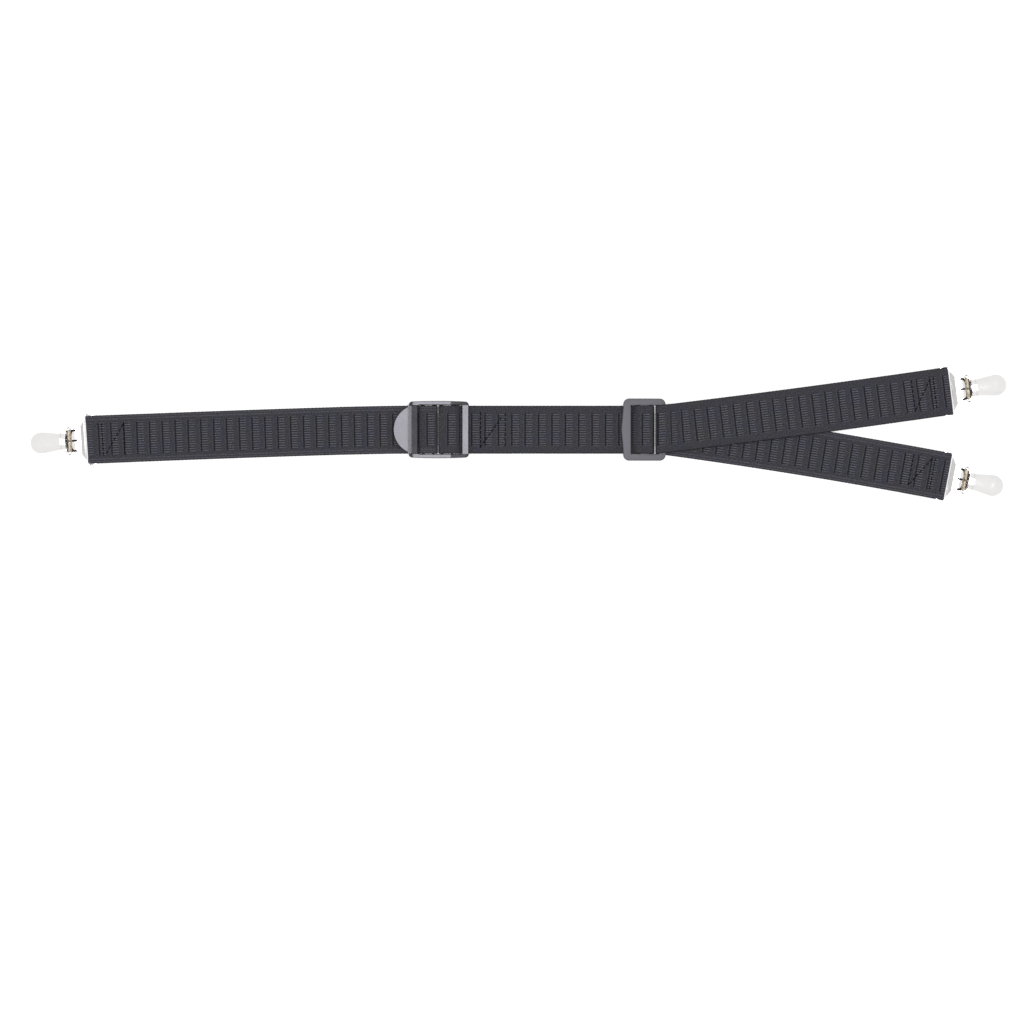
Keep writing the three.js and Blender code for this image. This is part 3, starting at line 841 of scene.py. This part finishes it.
def weave_height(along, across, front):
    """How far the woven surface stands above or below its middle, on either face."""
    edge = (ladder_half_width - band_edge[0], ladder_half_width + band_edge[1])
    band = 1 - eased(np.abs(across), *edge)
    phase = np.mod(along, ladder_pitch)
    rib = 0.5 + 0.5 * np.sin(across * 2 * np.pi / rib_pitch)
    groove = np.exp(-(((phase - groove_width / 2) / (groove_width / 2)) ** 2)) * band
    ridge = np.exp(-(((phase - ladder_pitch + ridge_place) / ridge_width) ** 2)) * band
    rung = eased(phase, groove_width, groove_width * 1.6)
    rung = rung * (1 - eased(phase, rung_length, rung_length + 0.6 * mm)) * band
    height = rung * rib * rib_height + ridge * ridge_height - groove * groove_depth * (1 - 0.45 * rib)
    for place in cord_places:
        cord = np.exp(-(((np.abs(across) - place) / cord_width) ** 2))
        height = height + cord * cord_height * front
    return height


def section_columns(top_columns, under_columns):
    """Once round the webbing: how far across each column lies, and its lift, 1 on top to -1 under."""
    flat_half = web_width / 2 - web_thick / 2
    top = np.linspace(-flat_half, flat_half, top_columns + 1)
    under = np.linspace(flat_half, -flat_half, under_columns + 1)
    turn = np.linspace(np.pi / 2, -np.pi / 2, edge_columns + 1)[1:-1]
    edge_across = flat_half + np.cos(turn) * web_thick / 2
    across = np.concatenate([top, edge_across, under, -edge_across])
    lift = np.concatenate([np.ones_like(top), np.sin(turn), -np.ones_like(under), -np.sin(turn)])
    across = np.append(across, across[0])
    lift = np.append(lift, lift[0])
    return across, lift


class Face:
    """One face of a strap: a ladder line's place, the pitch, which way its ribs lie, and its cords."""

    def __init__(self, number, along, pitch, way, corded):
        self.number = number
        self.along = along
        self.pitch = pitch
        self.way = way
        self.corded = corded

    def chart(self, places, lines, firsts):
        """Places along the strip, measured from the ladder line in repeats of the chart's pitch."""
        points = lines[self.number]
        near = np.abs(points[:, 0] - self.along) < long_step
        index = np.argmax(np.where(near, points[:, 1], -1))
        mark = places[firsts[self.number] + index]
        return self.way * (places - mark) * ladder_pitch / self.pitch


def strap(name, stretches, top, under, columns):
    """A strip of webbing along side-view stretches, each a list of fine points with its course."""
    across, lift = section_columns(*columns)
    lines = [points if number == 0 else points[1:] for number, (points, _) in enumerate(stretches)]
    firsts = np.cumsum([0] + [len(points) for points in lines])
    line = np.concatenate(lines)
    gaps = np.linalg.norm(np.diff(line, axis=0), axis=1)
    places = np.concatenate([[0], np.cumsum(gaps)])
    tangent = np.gradient(line, axis=0)
    tangent = tangent / np.linalg.norm(tangent, axis=1)[:, None]
    normal = np.column_stack([-tangent[:, 1], tangent[:, 0]])

    upper = lift[None, :] > 0
    charts = [face.chart(places, lines, firsts)[:, None] for face in (top, under)]
    along_grid = np.where(upper, charts[0], charts[1])
    across_grid = np.broadcast_to(across[None, :], along_grid.shape)
    corded = np.where(upper, top.corded, under.corded)
    relief = np.sign(lift)[None, :] * weave_height(along_grid, across_grid, corded)
    edge = np.abs(lift[None, :]) < 0.99
    relief = np.where(edge, 0, relief)
    half = web_thick / 2 - relief_room
    offset = lift[None, :] * half + relief
    waves = np.sin(places[:, None] * 2 * np.pi / scallop_pitch)
    scallop = scallop_height * waves * edge * np.sign(across_grid)
    across_grid = across_grid + scallop
    ahead = line[:, 0][:, None] + normal[:, 0][:, None] * offset
    up = line[:, 1][:, None] + normal[:, 1][:, None] * offset

    plan = np.empty(ahead.shape + (2,))
    for (_, course), first, last in zip(stretches, firsts[:-1], firsts[1:]):
        plan[first:last] = course.at(ahead[first:last], across_grid[first:last])
    skin = np.concatenate([plan + home, up[..., None]], -1)

    rings, steps = len(line) - 1, len(across) - 1
    piece = rolled_skin(name, rings, steps, lambda ring, step: skin[ring, step])
    shift = np.where(corded[0], 0, plain_shift)
    chart = piece.data.uv_layers[0]
    flat = np.empty(len(chart.uv) * 2)
    chart.uv.foreach_get("vector", flat)
    flat = flat.reshape(-1, 2)
    ring = np.clip(np.rint(flat[:, 0] * rings).astype(int), 0, rings)
    step = np.clip(np.rint(flat[:, 1] * steps).astype(int), 0, steps)
    flat = np.column_stack([along_grid[ring, step], across[step] + shift[step]])
    chart.uv.foreach_set("vector", flat.ravel())
    # Painted shade for each ring: the more upright the strap, the darker.
    steep = eased(np.abs(tangent[:, 1]), *steep_turn)
    turns = piece.data.uv_layers.new(name="turns", do_init=False)
    turns.uv.foreach_set("vector", np.column_stack([steep[ring], steep[ring]]).ravel())
    choose(piece)
    bpy.ops.object.shade_smooth()
    return painted(piece, webbing)


def stretch(corners, step=along_step):
    return evenly(rounded_line(corners), step)[0]


sock_course = Course(np.zeros(2), sock_route, sock_route[1])
straight_course = Course(np.zeros(2), (lock_length, 0, middle_reach, 0, 0), 0)
wrap_place = np.array([slide_start + wrap_start, 0])
upper_course = Course(wrap_place, upper_route, 0)
lower_course = Course(wrap_place, lower_route, 0)


def sock_strap():
    points = stretch(sock_corners(sock_course.length))
    top = Face(0, sock_line, sock_pitch, -1, True)
    under = Face(0, sock_line, sock_pitch, -1, False)
    return strap("sock_webbing", [(points, sock_course)], top, under, (fine_columns, plain_columns))


def middle_strap():
    points = stretch(middle_corners())
    top = Face(0, middle_line, middle_pitch, 1, False)
    under = Face(0, middle_line, middle_pitch, 1, True)
    columns = (fine_columns, plain_columns)
    return strap("middle_webbing", [(points, straight_course)], top, under, columns)


def shirt_strap():
    """One strip, from the lower arm's end, round the slide's last bar, to the upper arm's end."""
    lower = stretch(lower_arm_corners(lower_course.length), long_step)[::-1]
    upper = stretch(upper_arm_corners(upper_course.length), long_step)
    top = Face(1, upper_line, upper_pitch, 1, False)
    under = Face(0, lower_line, lower_pitch, -1, True)
    stretches = [(lower, lower_course), (upper, upper_course)]
    return strap("shirt_webbing", stretches, top, under, (even_columns, even_columns))


def one_stitch():
    """A short round-ended length of thread along X: a ball drawn out at its middle."""
    deselect_all()
    bpy.ops.mesh.primitive_uv_sphere_add(segments=8, ring_count=6, radius=stitch_radius)
    piece = newest("stitch")
    piece.data.transform(Matrix.Rotation(math.pi / 2, 4, "Y"))
    drawn = stitch_length / 2 - stitch_radius
    for vertex in piece.data.vertices:
        if abs(vertex.co.x) > stitch_radius / 10:
            vertex.co.x += math.copysign(drawn, vertex.co.x)
    return smoothed(piece, 80)


def stitching():
    """Every line of stitches that shows, laid on its strap's upper face."""
    model = one_stitch()
    runs = []
    for corners, course in (
        (sock_corners(sock_course.length), sock_course),
        (upper_arm_corners(upper_course.length), upper_course),
        (lower_arm_corners(lower_course.length), lower_course),
    ):
        for (near, near_side), (far, far_side) in clip_stitching:
            ends = ((course.length - near, near_side), (course.length - far, far_side))
            runs.append((corners, course, ends))
    runs += [(middle_corners(), straight_course, ends) for ends in lock_stitching]
    pieces = []
    for corners, course, ends in runs:
        line = stretch(corners)
        start, end = np.array(ends[0]), np.array(ends[1])
        count = round(np.linalg.norm(end - start) / stitch_pitch)
        for share in (np.arange(count) + 0.5) / count:
            spot = start + (end - start) * share
            near = np.abs(line[:, 0] - spot[0]) < long_step
            up = line[near, 1].max() + web_thick / 2
            ahead = spot + (end - start) * 0.01
            here, there = (course.at(np.array([p[0]]), np.array([p[1]]))[0] for p in (spot, ahead))
            turn = math.atan2(*(there - here)[::-1])
            piece = model.copy()
            piece.data = model.data.copy()
            bpy.context.scene.collection.objects.link(piece)
            place = Matrix.Translation((*(here + home), up))
            piece.data.transform(place @ Matrix.Rotation(turn, 4, "Z"))
            pieces.append(piece)
    bpy.data.objects.remove(model)
    choose(*pieces)
    bpy.ops.object.join()
    return painted(newest("black_stitching"), thread)


def rounded_box_section(x, low, high, radius, steps=5):
    """Points once round an upright rectangle, x = (near, far), with round corners."""
    near, far = x
    points = []
    corners = (
        (far - radius, low + radius, -90),
        (far - radius, high - radius, 0),
        (near + radius, high - radius, 90),
        (near + radius, low + radius, 180),
    )
    for cx, cz, start in corners:
        for angle in np.radians(np.linspace(start, start + 90, steps)):
            points.append((cx + radius * math.cos(angle), cz + radius * math.sin(angle)))
    return points


def cross_bar(name, section, half_width):
    """A bar of this side-view section that lies across, from side to side."""
    return upright_plate(name, section, -half_width, half_width)


def lock_rail_loft(name, hand):
    """One side rail: bowed in plan, round at its corners, falling to the end bar."""
    inside = web_width / 2 + lock_rail_space
    outside = inside + lock_rail
    stations = np.concatenate(
        [
            np.linspace(0, lock_corner, 9),
            np.linspace(lock_corner, lock_length - lock_corner, 40)[1:-1],
            np.linspace(lock_length - lock_corner, lock_length, 9),
        ]
    )
    rings = []
    for x in stations:
        middle = 2 * x / lock_length - 1
        outer = outside - lock_rail_bow * middle * middle
        corner = max(lock_corner - x, x - (lock_length - lock_corner), 0)
        outer -= lock_corner - math.sqrt(max(lock_corner**2 - corner**2, 0))
        in_bar = x < lock_front_bar or x > lock_end
        inner = min(inside - (2 * bar_overlap if in_bar else 0), outer - 3 * rail_round)
        front = lock_front_bar / 2
        high = lock_rail_high
        if x < front:
            high -= front - math.sqrt(max(front**2 - (front - x) ** 2, 0))
        fallen = np.clip((x - rail_fall_start) / (lock_length - rail_fall_start), 0, 1)
        high -= (lock_rail_high - lock_rail_end) * fallen
        low = lock_under - (lock_under - lock_rail_low) * min(
            eased(x, lock_front_bar, lock_front_bar + lock_corner),
            1 - eased(x, lock_end - lock_corner, lock_end),
        )
        high = max(high, low + rail_least_height)
        section = rounded_box_section((inner, outer), low, high, rail_round, 4)
        halfway = (inner + outer) / 2
        lean = [wall_lean * (high - z) / (high - low) if y < halfway else 0 for y, z in section]
        rings.append([(x, hand * (y - inwards), z) for (y, z), inwards in zip(section, lean)])
    rings = np.array(rings)
    rings = np.concatenate([rings, rings[:, :1]], 1)
    rings = rings + np.array([home[0], home[1], 0])
    return rolled_skin(name, len(rings) - 1, rings.shape[1] - 1, lambda r, s: rings[r, s])


def shifted(piece, x=0.0, y=0.0, z=0.0):
    piece.data.transform(Matrix.Translation((x, y, z)))
    return piece


def ladder_lock():
    inside = web_width / 2 + lock_rail_space
    rails = [lock_rail_loft("lock_rail_" + str(i), hand) for i, hand in enumerate((1, -1))]
    front = rounded_line(
        [
            (lock_front_bar / 2, lock_under),
            (-front_reach, lock_under, lock_edge),
            (-front_reach, lock_front_high, lock_edge),
            (front_crest, lock_front_high - front_crest_drop, lock_front_round),
            (lock_front_bar, lock_front_low, lock_edge),
            (lock_front_bar, lock_under, lock_edge),
            (lock_front_bar / 2, lock_under),
        ]
    )
    front = evenly(front, 0.12 * mm)[0][:-1]
    pieces = [cross_bar("lock_front_bar", front, inside - bar_overlap)]
    for start in (lock_bar_a, lock_bar_b):
        ends = (start, start + lock_bar)
        section = rounded_box_section(ends, lock_bar_low, lock_bar_low + lock_bar_height, bar_round, 7)
        pieces.append(cross_bar("lock_bar", section, inside + lock_rail / 2))
    ends = (lock_end, lock_length - end_inset)
    end = rounded_box_section(ends, lock_under, lock_end_high, lock_edge, 6)
    pieces.append(cross_bar("lock_end_bar", end, inside - bar_overlap))
    pieces.append(lift_tab())
    for piece in pieces:
        shifted(piece, home[0], home[1])
    body = fused(rails[0], rails[1], *pieces)
    smoothed(painted(body, lock_plastic), 40)
    finished_by(body, "WEIGHTED_NORMAL", keep_sharp=True)
    body.name = body.data.name = "ladder_lock_moulding"
    return body


def lift_tab():
    """The D-shaped tab past the front bar, tilted up a little."""
    radius = (tab_half_width**2 + tab_reach**2) / (2 * tab_reach)
    edge = math.asin(tab_half_width / radius)
    arc = np.linspace(math.pi - edge, math.pi + edge, 64)
    centre = radius - tab_reach
    outline = [(centre + radius * math.cos(a), radius * math.sin(a)) for a in arc]
    outline = [(lock_edge, tab_half_width), *outline, (lock_edge, -tab_half_width)]
    piece = plate("lock_tab", outline, 0, tab_thick)
    with_round_edges(piece, lock_edge, 4, 50)
    piece.data.transform(Matrix.Rotation(tab_tilt, 4, "Y"))
    return shifted(piece, z=lock_under + clearance)


def slide_outline():
    """The slide from above: round corners and end bars that bulge a little."""
    half = web_width / 2 + slide_rail_space + slide_rail
    points = []
    for angle in np.radians(np.linspace(-90, 0, 12)):
        x = slide_length - slide_point - slide_corner + slide_corner * math.cos(angle)
        points.append((x, -half + slide_corner + slide_corner * math.sin(angle)))
    for share in np.linspace(0, 1, 17)[1:-1]:
        y = (2 * share - 1) * (half - slide_corner)
        points.append((slide_length - slide_point * abs(2 * share - 1), y))
    for angle in np.radians(np.linspace(0, 90, 12)):
        x = slide_length - slide_point - slide_corner + slide_corner * math.cos(angle)
        points.append((x, half - slide_corner + slide_corner * math.sin(angle)))
    points += [(slide_length - x, -y) for x, y in points]
    return points


def box(name, x, y, z):
    """A block between two corners, each axis given as (from, to)."""
    outline = [(x[0], y[0]), (x[1], y[0]), (x[1], y[1]), (x[0], y[1])]
    return plate(name, outline, *z)


def slide_buckle():
    inside = web_width / 2 + slide_rail_space
    body = plate("slide_moulding", slide_outline(), 0, slide_thick)
    reach = (-slide_thick, 2 * slide_thick)
    centre_end = slide_centre + slide_centre_bar
    for near, far in ((slide_bar, slide_centre), (centre_end, slide_last)):
        slot = box("slot", (near, far), (-inside, inside), reach)
        for vertex in slot.data.vertices:
            lean = wall_lean * (slide_thick - vertex.co.z) / slide_thick
            vertex.co.y -= math.copysign(lean, vertex.co.y)
        cut_by(body, slot)
    with_round_edges(body, slide_edge, 4, 50)
    body.data.transform(Matrix.Rotation(slide_lean, 4, "Y"))
    shifted(body, home[0] + slide_start, home[1], slide_under)
    return smoothed(painted(body, slide_plastic), 40)


def bent_up(along):
    """Height of the middle of the clip's sheet, from the webbing slot to the finger tips."""
    bar_up = web_thick + clearance + sheet / 2
    rise = (neck_up - bar_up) * eased(along, slot_end, neck_start)
    fall = (neck_up - finger_tip_up) * eased(along, finger_bend - 0.6 * mm, finger_tip + 0.5 * mm)
    return bar_up + rise - fall


def clip_sheet():
    """The frame's sheet: a trapezoid loop for the webbing, a neck and two spring fingers."""
    bar_outer = -web_thick - clearance - slot_bar
    slot_half = web_width / 2 + clearance
    loop_half = slot_half + slot_side
    half = [
        (bar_outer + loop_inset, loop_half),
        (slope_start, loop_half),
        (neck_start, neck_half_width),
        (cheek_start, cheek_outer - ear_inset),
        (finger_root + ear_reach, cheek_outer - ear_inset),
        (finger_root + ear_reach, finger_half_width),
        (finger_tip - finger_round, finger_half_width),
        (finger_tip + 0.1 * mm, finger_half_width - 0.5 * mm),
        (finger_tip + 0.4 * mm, finger_half_width - 1.3 * mm),
        (finger_tip + finger_round, finger_half_width - 2.4 * mm),
    ]
    outline = half + [(x, -y) for x, y in reversed(half)]
    body = plate("clip_sheet", outline, -sheet / 2, sheet / 2)
    slope = (loop_half - neck_half_width) / (neck_start - slope_start)
    far_half = slot_half - (slot_end - clearance) * slope
    slot = [
        (bar_outer + slot_bar, -slot_half),
        (clearance, -slot_half),
        (slot_end, -far_half),
        (slot_end, far_half),
        (clearance, slot_half),
        (bar_outer + slot_bar, slot_half),
    ]
    cut_by(body, plate("slot", slot, -sheet, sheet))
    cut_by(
        body,
        box("slit", (slit_root, 2 * finger_tip), (-slit_half_width, slit_half_width), (-sheet, sheet)),
    )
    for hand in (1, -1):
        near, far = sorted((hand * finger_half_width, hand * (cheek_outer - sheet)))
        cut_by(body, box("side_slot", (finger_root, 2 * finger_tip), (near, far), (-sheet, sheet)))
    with_round_edges(body, 0.12 * mm, 2, 50)
    choose(body)
    bpy.ops.object.mode_set(mode="EDIT")
    for along in np.linspace(slot_end - 0.2 * mm, finger_tip + 0.4 * mm, 36):
        bpy.ops.mesh.select_all(action="SELECT")
        bpy.ops.mesh.bisect(plane_co=(along, 0, 0), plane_no=(1, 0, 0))
    bpy.ops.object.mode_set(mode="OBJECT")
    for vertex in body.data.vertices:
        vertex.co.z += bent_up(vertex.co.x)
    return body


def clip_frame():
    """Sheet, cheeks and lower jaw, fused into the stamped frame."""
    body = clip_sheet()
    turn = math.pi - math.asin((neck_up + sheet / 2 - pin_up) / cheek_round)
    arc = np.linspace(0, turn, 20)
    cheek = [
        (cheek_start + cheek_overlap, neck_up - sheet / 2),
        (pin_along - cheek_round, 0),
        (pin_along + cheek_round, 0),
        *[(pin_along + cheek_round * math.cos(a), pin_up + cheek_round * math.sin(a)) for a in arc],
        (cheek_start + cheek_overlap, neck_up + sheet / 2 - hair),
    ]
    parts = []
    for near, far in ((cheek_outer - sheet, cheek_outer), (-cheek_outer, sheet - cheek_outer)):
        side = upright_plate("cheek", cheek, near, far)
        with_round_edges(side, metal_edge, 3, 50)
        parts.append(side)
    wide = pin_along + cheek_round
    tip = [
        (
            jaw_tip - jaw_half_width + jaw_half_width * math.cos(a),
            jaw_half_width * math.sin(a),
        )
        for a in np.linspace(-math.pi / 2, math.pi / 2, 24)
    ]
    jaw = [
        (pin_along - cheek_round, -cheek_outer),
        (wide, -cheek_outer),
        (wide, -jaw_half_width),
        *tip,
        (wide, jaw_half_width),
        (wide, cheek_outer),
        (pin_along - cheek_round, cheek_outer),
    ]
    lower = plate("jaw", jaw, 0, sheet)
    with_round_edges(lower, metal_edge, 3, 50)
    foot = pin_along - cheek_round
    fold = [
        (cheek_start, neck_up - sheet / 4),
        (cheek_start, neck_up - sheet),
        (foot, fold_rise),
        (foot + sheet, fold_rise),
        (foot + sheet, sheet + fold_rise),
    ]
    parts.append(cross_bar("fold", fold, cheek_outer - sheet / 2))
    fused(body, *parts, lower)
    painted(body, nickel, raw_metal, inside_shade)
    # Upward faces on the jaw between the cheeks, under the cap, get painted shade; all else is bright
    # nickel.
    mouth_end = cap_near + cap_band
    for face in body.data.polygons:
        centre = face.center
        between = abs(centre.y) < cheek_outer - sheet + hair
        within = finger_root - sheet < centre.x < mouth_end
        below = centre.z < neck_up - sheet / 2 - hair
        face.material_index = 2 if between and within and below and face.normal.z > 0.1 else 0
    painted_shade_on(body, frame_painted_shade)
    smoothed(body, 40)
    return finished_by(body, "WEIGHTED_NORMAL", keep_sharp=True)


def painted_shade_on(piece, rule):
    """Give each vertex its painted shade, from 0 to 1, by a rule of its place."""
    painted_shade = piece.data.attributes.new("painted_shade", "FLOAT", "POINT")
    painted_shade.data.foreach_set("value", [rule(*vertex.co) for vertex in piece.data.vertices])


def frame_painted_shade(along, across, up):
    """Painted shade: grey in the bend at the neck, on the sloping band before it and down the loop's
    sides.
    """
    if up < sheet:
        return 0
    bend = bend_painted_shade * math.exp(-(((along - neck_start) / (0.35 * mm)) ** 2))
    band = slope_painted_shade if slot_end < along < neck_start else 0
    slot_edge = web_width / 2 + clearance - max(along - clearance, 0) * 1.6
    side = side_painted_shade if 0 < along < neck_start and abs(across) > slot_edge else 0
    return max(bend, band, side)


def lever_painted_shade(along, across, up):
    """Painted shade: grey at the cap's rim and at the step past its flat band, dark behind the barrel.
    """
    behind = hollow_painted_shade if pin_along + 0.6 * mm < along < cap_near - hair else 0
    step = step_painted_shade * math.exp(-(((along - cap_near - cap_band) / (0.3 * mm)) ** 2))
    rim = rim_painted_shade if along > cap_near and up < 3 * cap_rim else 0
    return max(behind, step, rim)


def clip_pin():
    """The hinge pin, with its ends rounded over."""
    deselect_all()
    half = cheek_outer + pin_proud
    bpy.ops.mesh.primitive_cylinder_add(
        vertices=32, radius=pin_radius, depth=2 * half, rotation=(math.pi / 2, 0, 0)
    )
    piece = newest("clip_pin")
    bpy.ops.object.transform_apply(location=False, rotation=True, scale=False)
    shifted(piece, pin_along, 0, pin_up)
    with_round_edges(piece, 0.25 * mm, 4, 50)
    # The whole pin is painted in shade, so it reads dark in the barrel's notch and at its ends.
    painted_shade_on(piece, lambda *spot: pin_painted_shade)
    return smoothed(painted(piece, nickel))


def cap_shell():
    """The domed cap: a grid shaped to a long vault that closes over its round tip."""
    rows, columns = 72, 56
    deselect_all()
    bpy.ops.mesh.primitive_grid_add(x_subdivisions=rows, y_subdivisions=columns, size=1)
    piece = newest("cap")
    mesh = piece.data
    flat = np.empty(len(mesh.vertices) * 3)
    mesh.vertices.foreach_get("co", flat)
    flat = flat.reshape(-1, 3)
    share = flat[:, 0] + 0.5
    turn = np.sin(flat[:, 1] * np.pi)
    near_half = cheek_outer - sheet - clearance
    round_start = cap_tip - cap_tip_radius
    body_share = 0.55
    along = np.where(
        share < body_share,
        cap_near + (round_start - cap_near) * share / body_share,
        round_start + cap_tip_radius * np.sin((share - body_share) / (1 - body_share) * np.pi / 2),
    )
    widen = eased(along, cap_near, round_start)
    half = near_half + (cap_tip_radius - near_half) * widen
    into_tip = np.clip((along - round_start) / cap_tip_radius, 0, 1)
    half = half * np.sqrt(np.clip(1 - into_tip**2, 0, 1))
    far = np.clip((along - cap_near - cap_band) / (cap_tip - cap_near - cap_band), 0, 1)
    crest = (cap_high - cap_rim) * (1 - cap_slope * far)
    crest = crest * (1 - into_tip**2.6) ** (1 / 2.2)
    band_end = cap_near + cap_band
    crest = crest - cap_step * (1 - eased(along, band_end - 0.3 * mm, band_end + 0.3 * mm))
    arch = np.clip(1 - np.abs(turn) ** 2.8, 0, 1) ** (1 / 2.1)
    points = np.column_stack([along, turn * half, cap_rim + crest * arch])
    mesh.vertices.foreach_set("co", points.ravel())
    mesh.update()
    bpy.ops.object.mode_set(mode="EDIT")
    bpy.ops.mesh.select_all(action="SELECT")
    bpy.ops.mesh.remove_doubles(threshold=1e-6)
    bpy.ops.object.mode_set(mode="OBJECT")
    finished_by(piece, "SOLIDIFY", thickness=cap_wall, offset=-1, use_even_offset=False, use_rim=True)
    return piece


def hinge_cylinder(name, radius, half):
    """A cylinder about the hinge's axis."""
    deselect_all()
    bpy.ops.mesh.primitive_cylinder_add(vertices=48, radius=radius, depth=2 * half)
    piece = newest(name)
    piece.data.transform(Matrix.Rotation(math.pi / 2, 4, "X"))
    return shifted(piece, pin_along, 0, pin_up)


def clip_lever():
    """The domed cap, its two arms and the notched barrel that turns on the pin."""
    body = cap_shell()
    outer = cheek_outer - sheet - clearance
    arms = []
    for near, far in ((outer - cap_wall, outer), (-outer, cap_wall - outer)):
        arms.append(box("arm", (pin_along, cap_near + arm_overlap), (near, far), (arm_low, arm_high)))
    barrel = hinge_cylinder("barrel", barrel_radius, outer)
    notch_start = pin_along - 2 * barrel_radius
    across = (-slit_half_width, slit_half_width)
    cut_by(barrel, box("notch", (notch_start, notch_end), across, (pin_up, cap_high)))
    fused(body, *arms, barrel)
    cut_by(body, hinge_cylinder("bore", pin_radius + clearance, 2 * outer))
    painted(body, nickel, raw_metal, inside_shade)
    # The barrel is the dull, thin-plated inside; its faces past the pin get painted shade.
    for face in body.data.polygons:
        away = math.hypot(face.center.x - pin_along, face.center.z - pin_up)
        behind = face.center.x > pin_along + barrel_radius / 2
        on_barrel = away < barrel_radius + hair
        face.material_index = (2 if behind else 1) if on_barrel else 0
    painted_shade_on(body, lever_painted_shade)
    return smoothed(body, 40)


def placed_copy(model, name, joint):
    """A copy of a clip's piece, set on the pin's axis of its joint, with its own mesh."""
    piece = model.copy()
    piece.data = model.data.copy()
    piece.name = piece.data.name = name
    bpy.context.scene.collection.objects.link(piece)
    axis = joint["axis"]
    along = Vector((-axis[1], axis[0], 0))
    origin = Vector(joint["pos_m"]) - along * pin_along
    turn = Matrix.Rotation(math.atan2(along.y, along.x), 4, "Z")
    piece.data.transform(Matrix.Translation((origin.x, origin.y, 0)) @ turn)
    return piece


def dressed(piece, body, slot, *replaced):
    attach(piece, body)
    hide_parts(*replaced)


def clips():
    models = {"frame": clip_frame(), "pin": clip_pin(), "lever": clip_lever()}
    for joint in frame["joints"]:
        place = joint["name"].split("_")[0]
        for kind, model in models.items():
            body = joint["child"] if kind == "lever" else joint["parent"]
            piece = placed_copy(model, f"{place}_{kind}_metal", joint)
            dressed(piece, body, "nickel", f"{place}_clip_{kind}")
    for model in models.values():
        bpy.data.objects.remove(model)


def studio():
    """A pale table, a soft box overhead and an even sky, with the camera straight above."""
    view_width = 533.3 * mm
    view_centre = Vector((-3.4 * mm, -40.8 * mm, 2 * mm))
    deselect_all()
    bpy.ops.mesh.primitive_plane_add(size=6, location=(0, 0, -0.2 * mm))
    floor = newest("table")
    paint = Finish("pale_table")
    paint.surface(Base_Color=(0.5, 0.5, 0.5, 1), Roughness=0.7, Specular_IOR_Level=0.2)
    paint.surface(Emission_Color=(1, 1, 1, 1), Emission_Strength=0.55)
    painted(floor, paint.material)

    bpy.ops.object.camera_add()
    camera = bpy.context.active_object
    camera.data.lens = 120
    camera.data.sensor_width = 36
    camera.data.clip_start = 0.05
    camera.data.clip_end = 20
    distance = view_width * camera.data.lens / camera.data.sensor_width
    camera.location = view_centre + Vector((0, 0, distance))
    bpy.context.scene.camera = camera

    bpy.ops.object.light_add(type="AREA", location=(0.12, 0, 2.6))
    soft_box = bpy.context.active_object
    soft_box.data.shape = "RECTANGLE"
    soft_box.data.size = 1.15
    soft_box.data.size_y = 1.1
    soft_box.data.energy = 39

    world = bpy.data.worlds.new("pale_studio")
    bpy.context.scene.world = world
    world.use_nodes = True
    backdrop = world.node_tree.nodes["Background"]
    backdrop.inputs["Color"].default_value = (1, 1, 1, 1)
    backdrop.inputs["Strength"].default_value = 0.85

    bpy.context.scene.view_settings.view_transform = "Standard"


dressed(sock_strap(), "stay", "webbing", "sock_strap")
dressed(middle_strap(), "stay", "webbing", "middle_strap")
dressed(shirt_strap(), "stay", "webbing", "shirt_strap")
thread_work = stitching()
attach(thread_work, "stay")
dressed(ladder_lock(), "stay", "buckle_plastic", "ladder_lock")
dressed(slide_buckle(), "stay", "buckle_plastic", "slide_buckle")
clips()
studio()
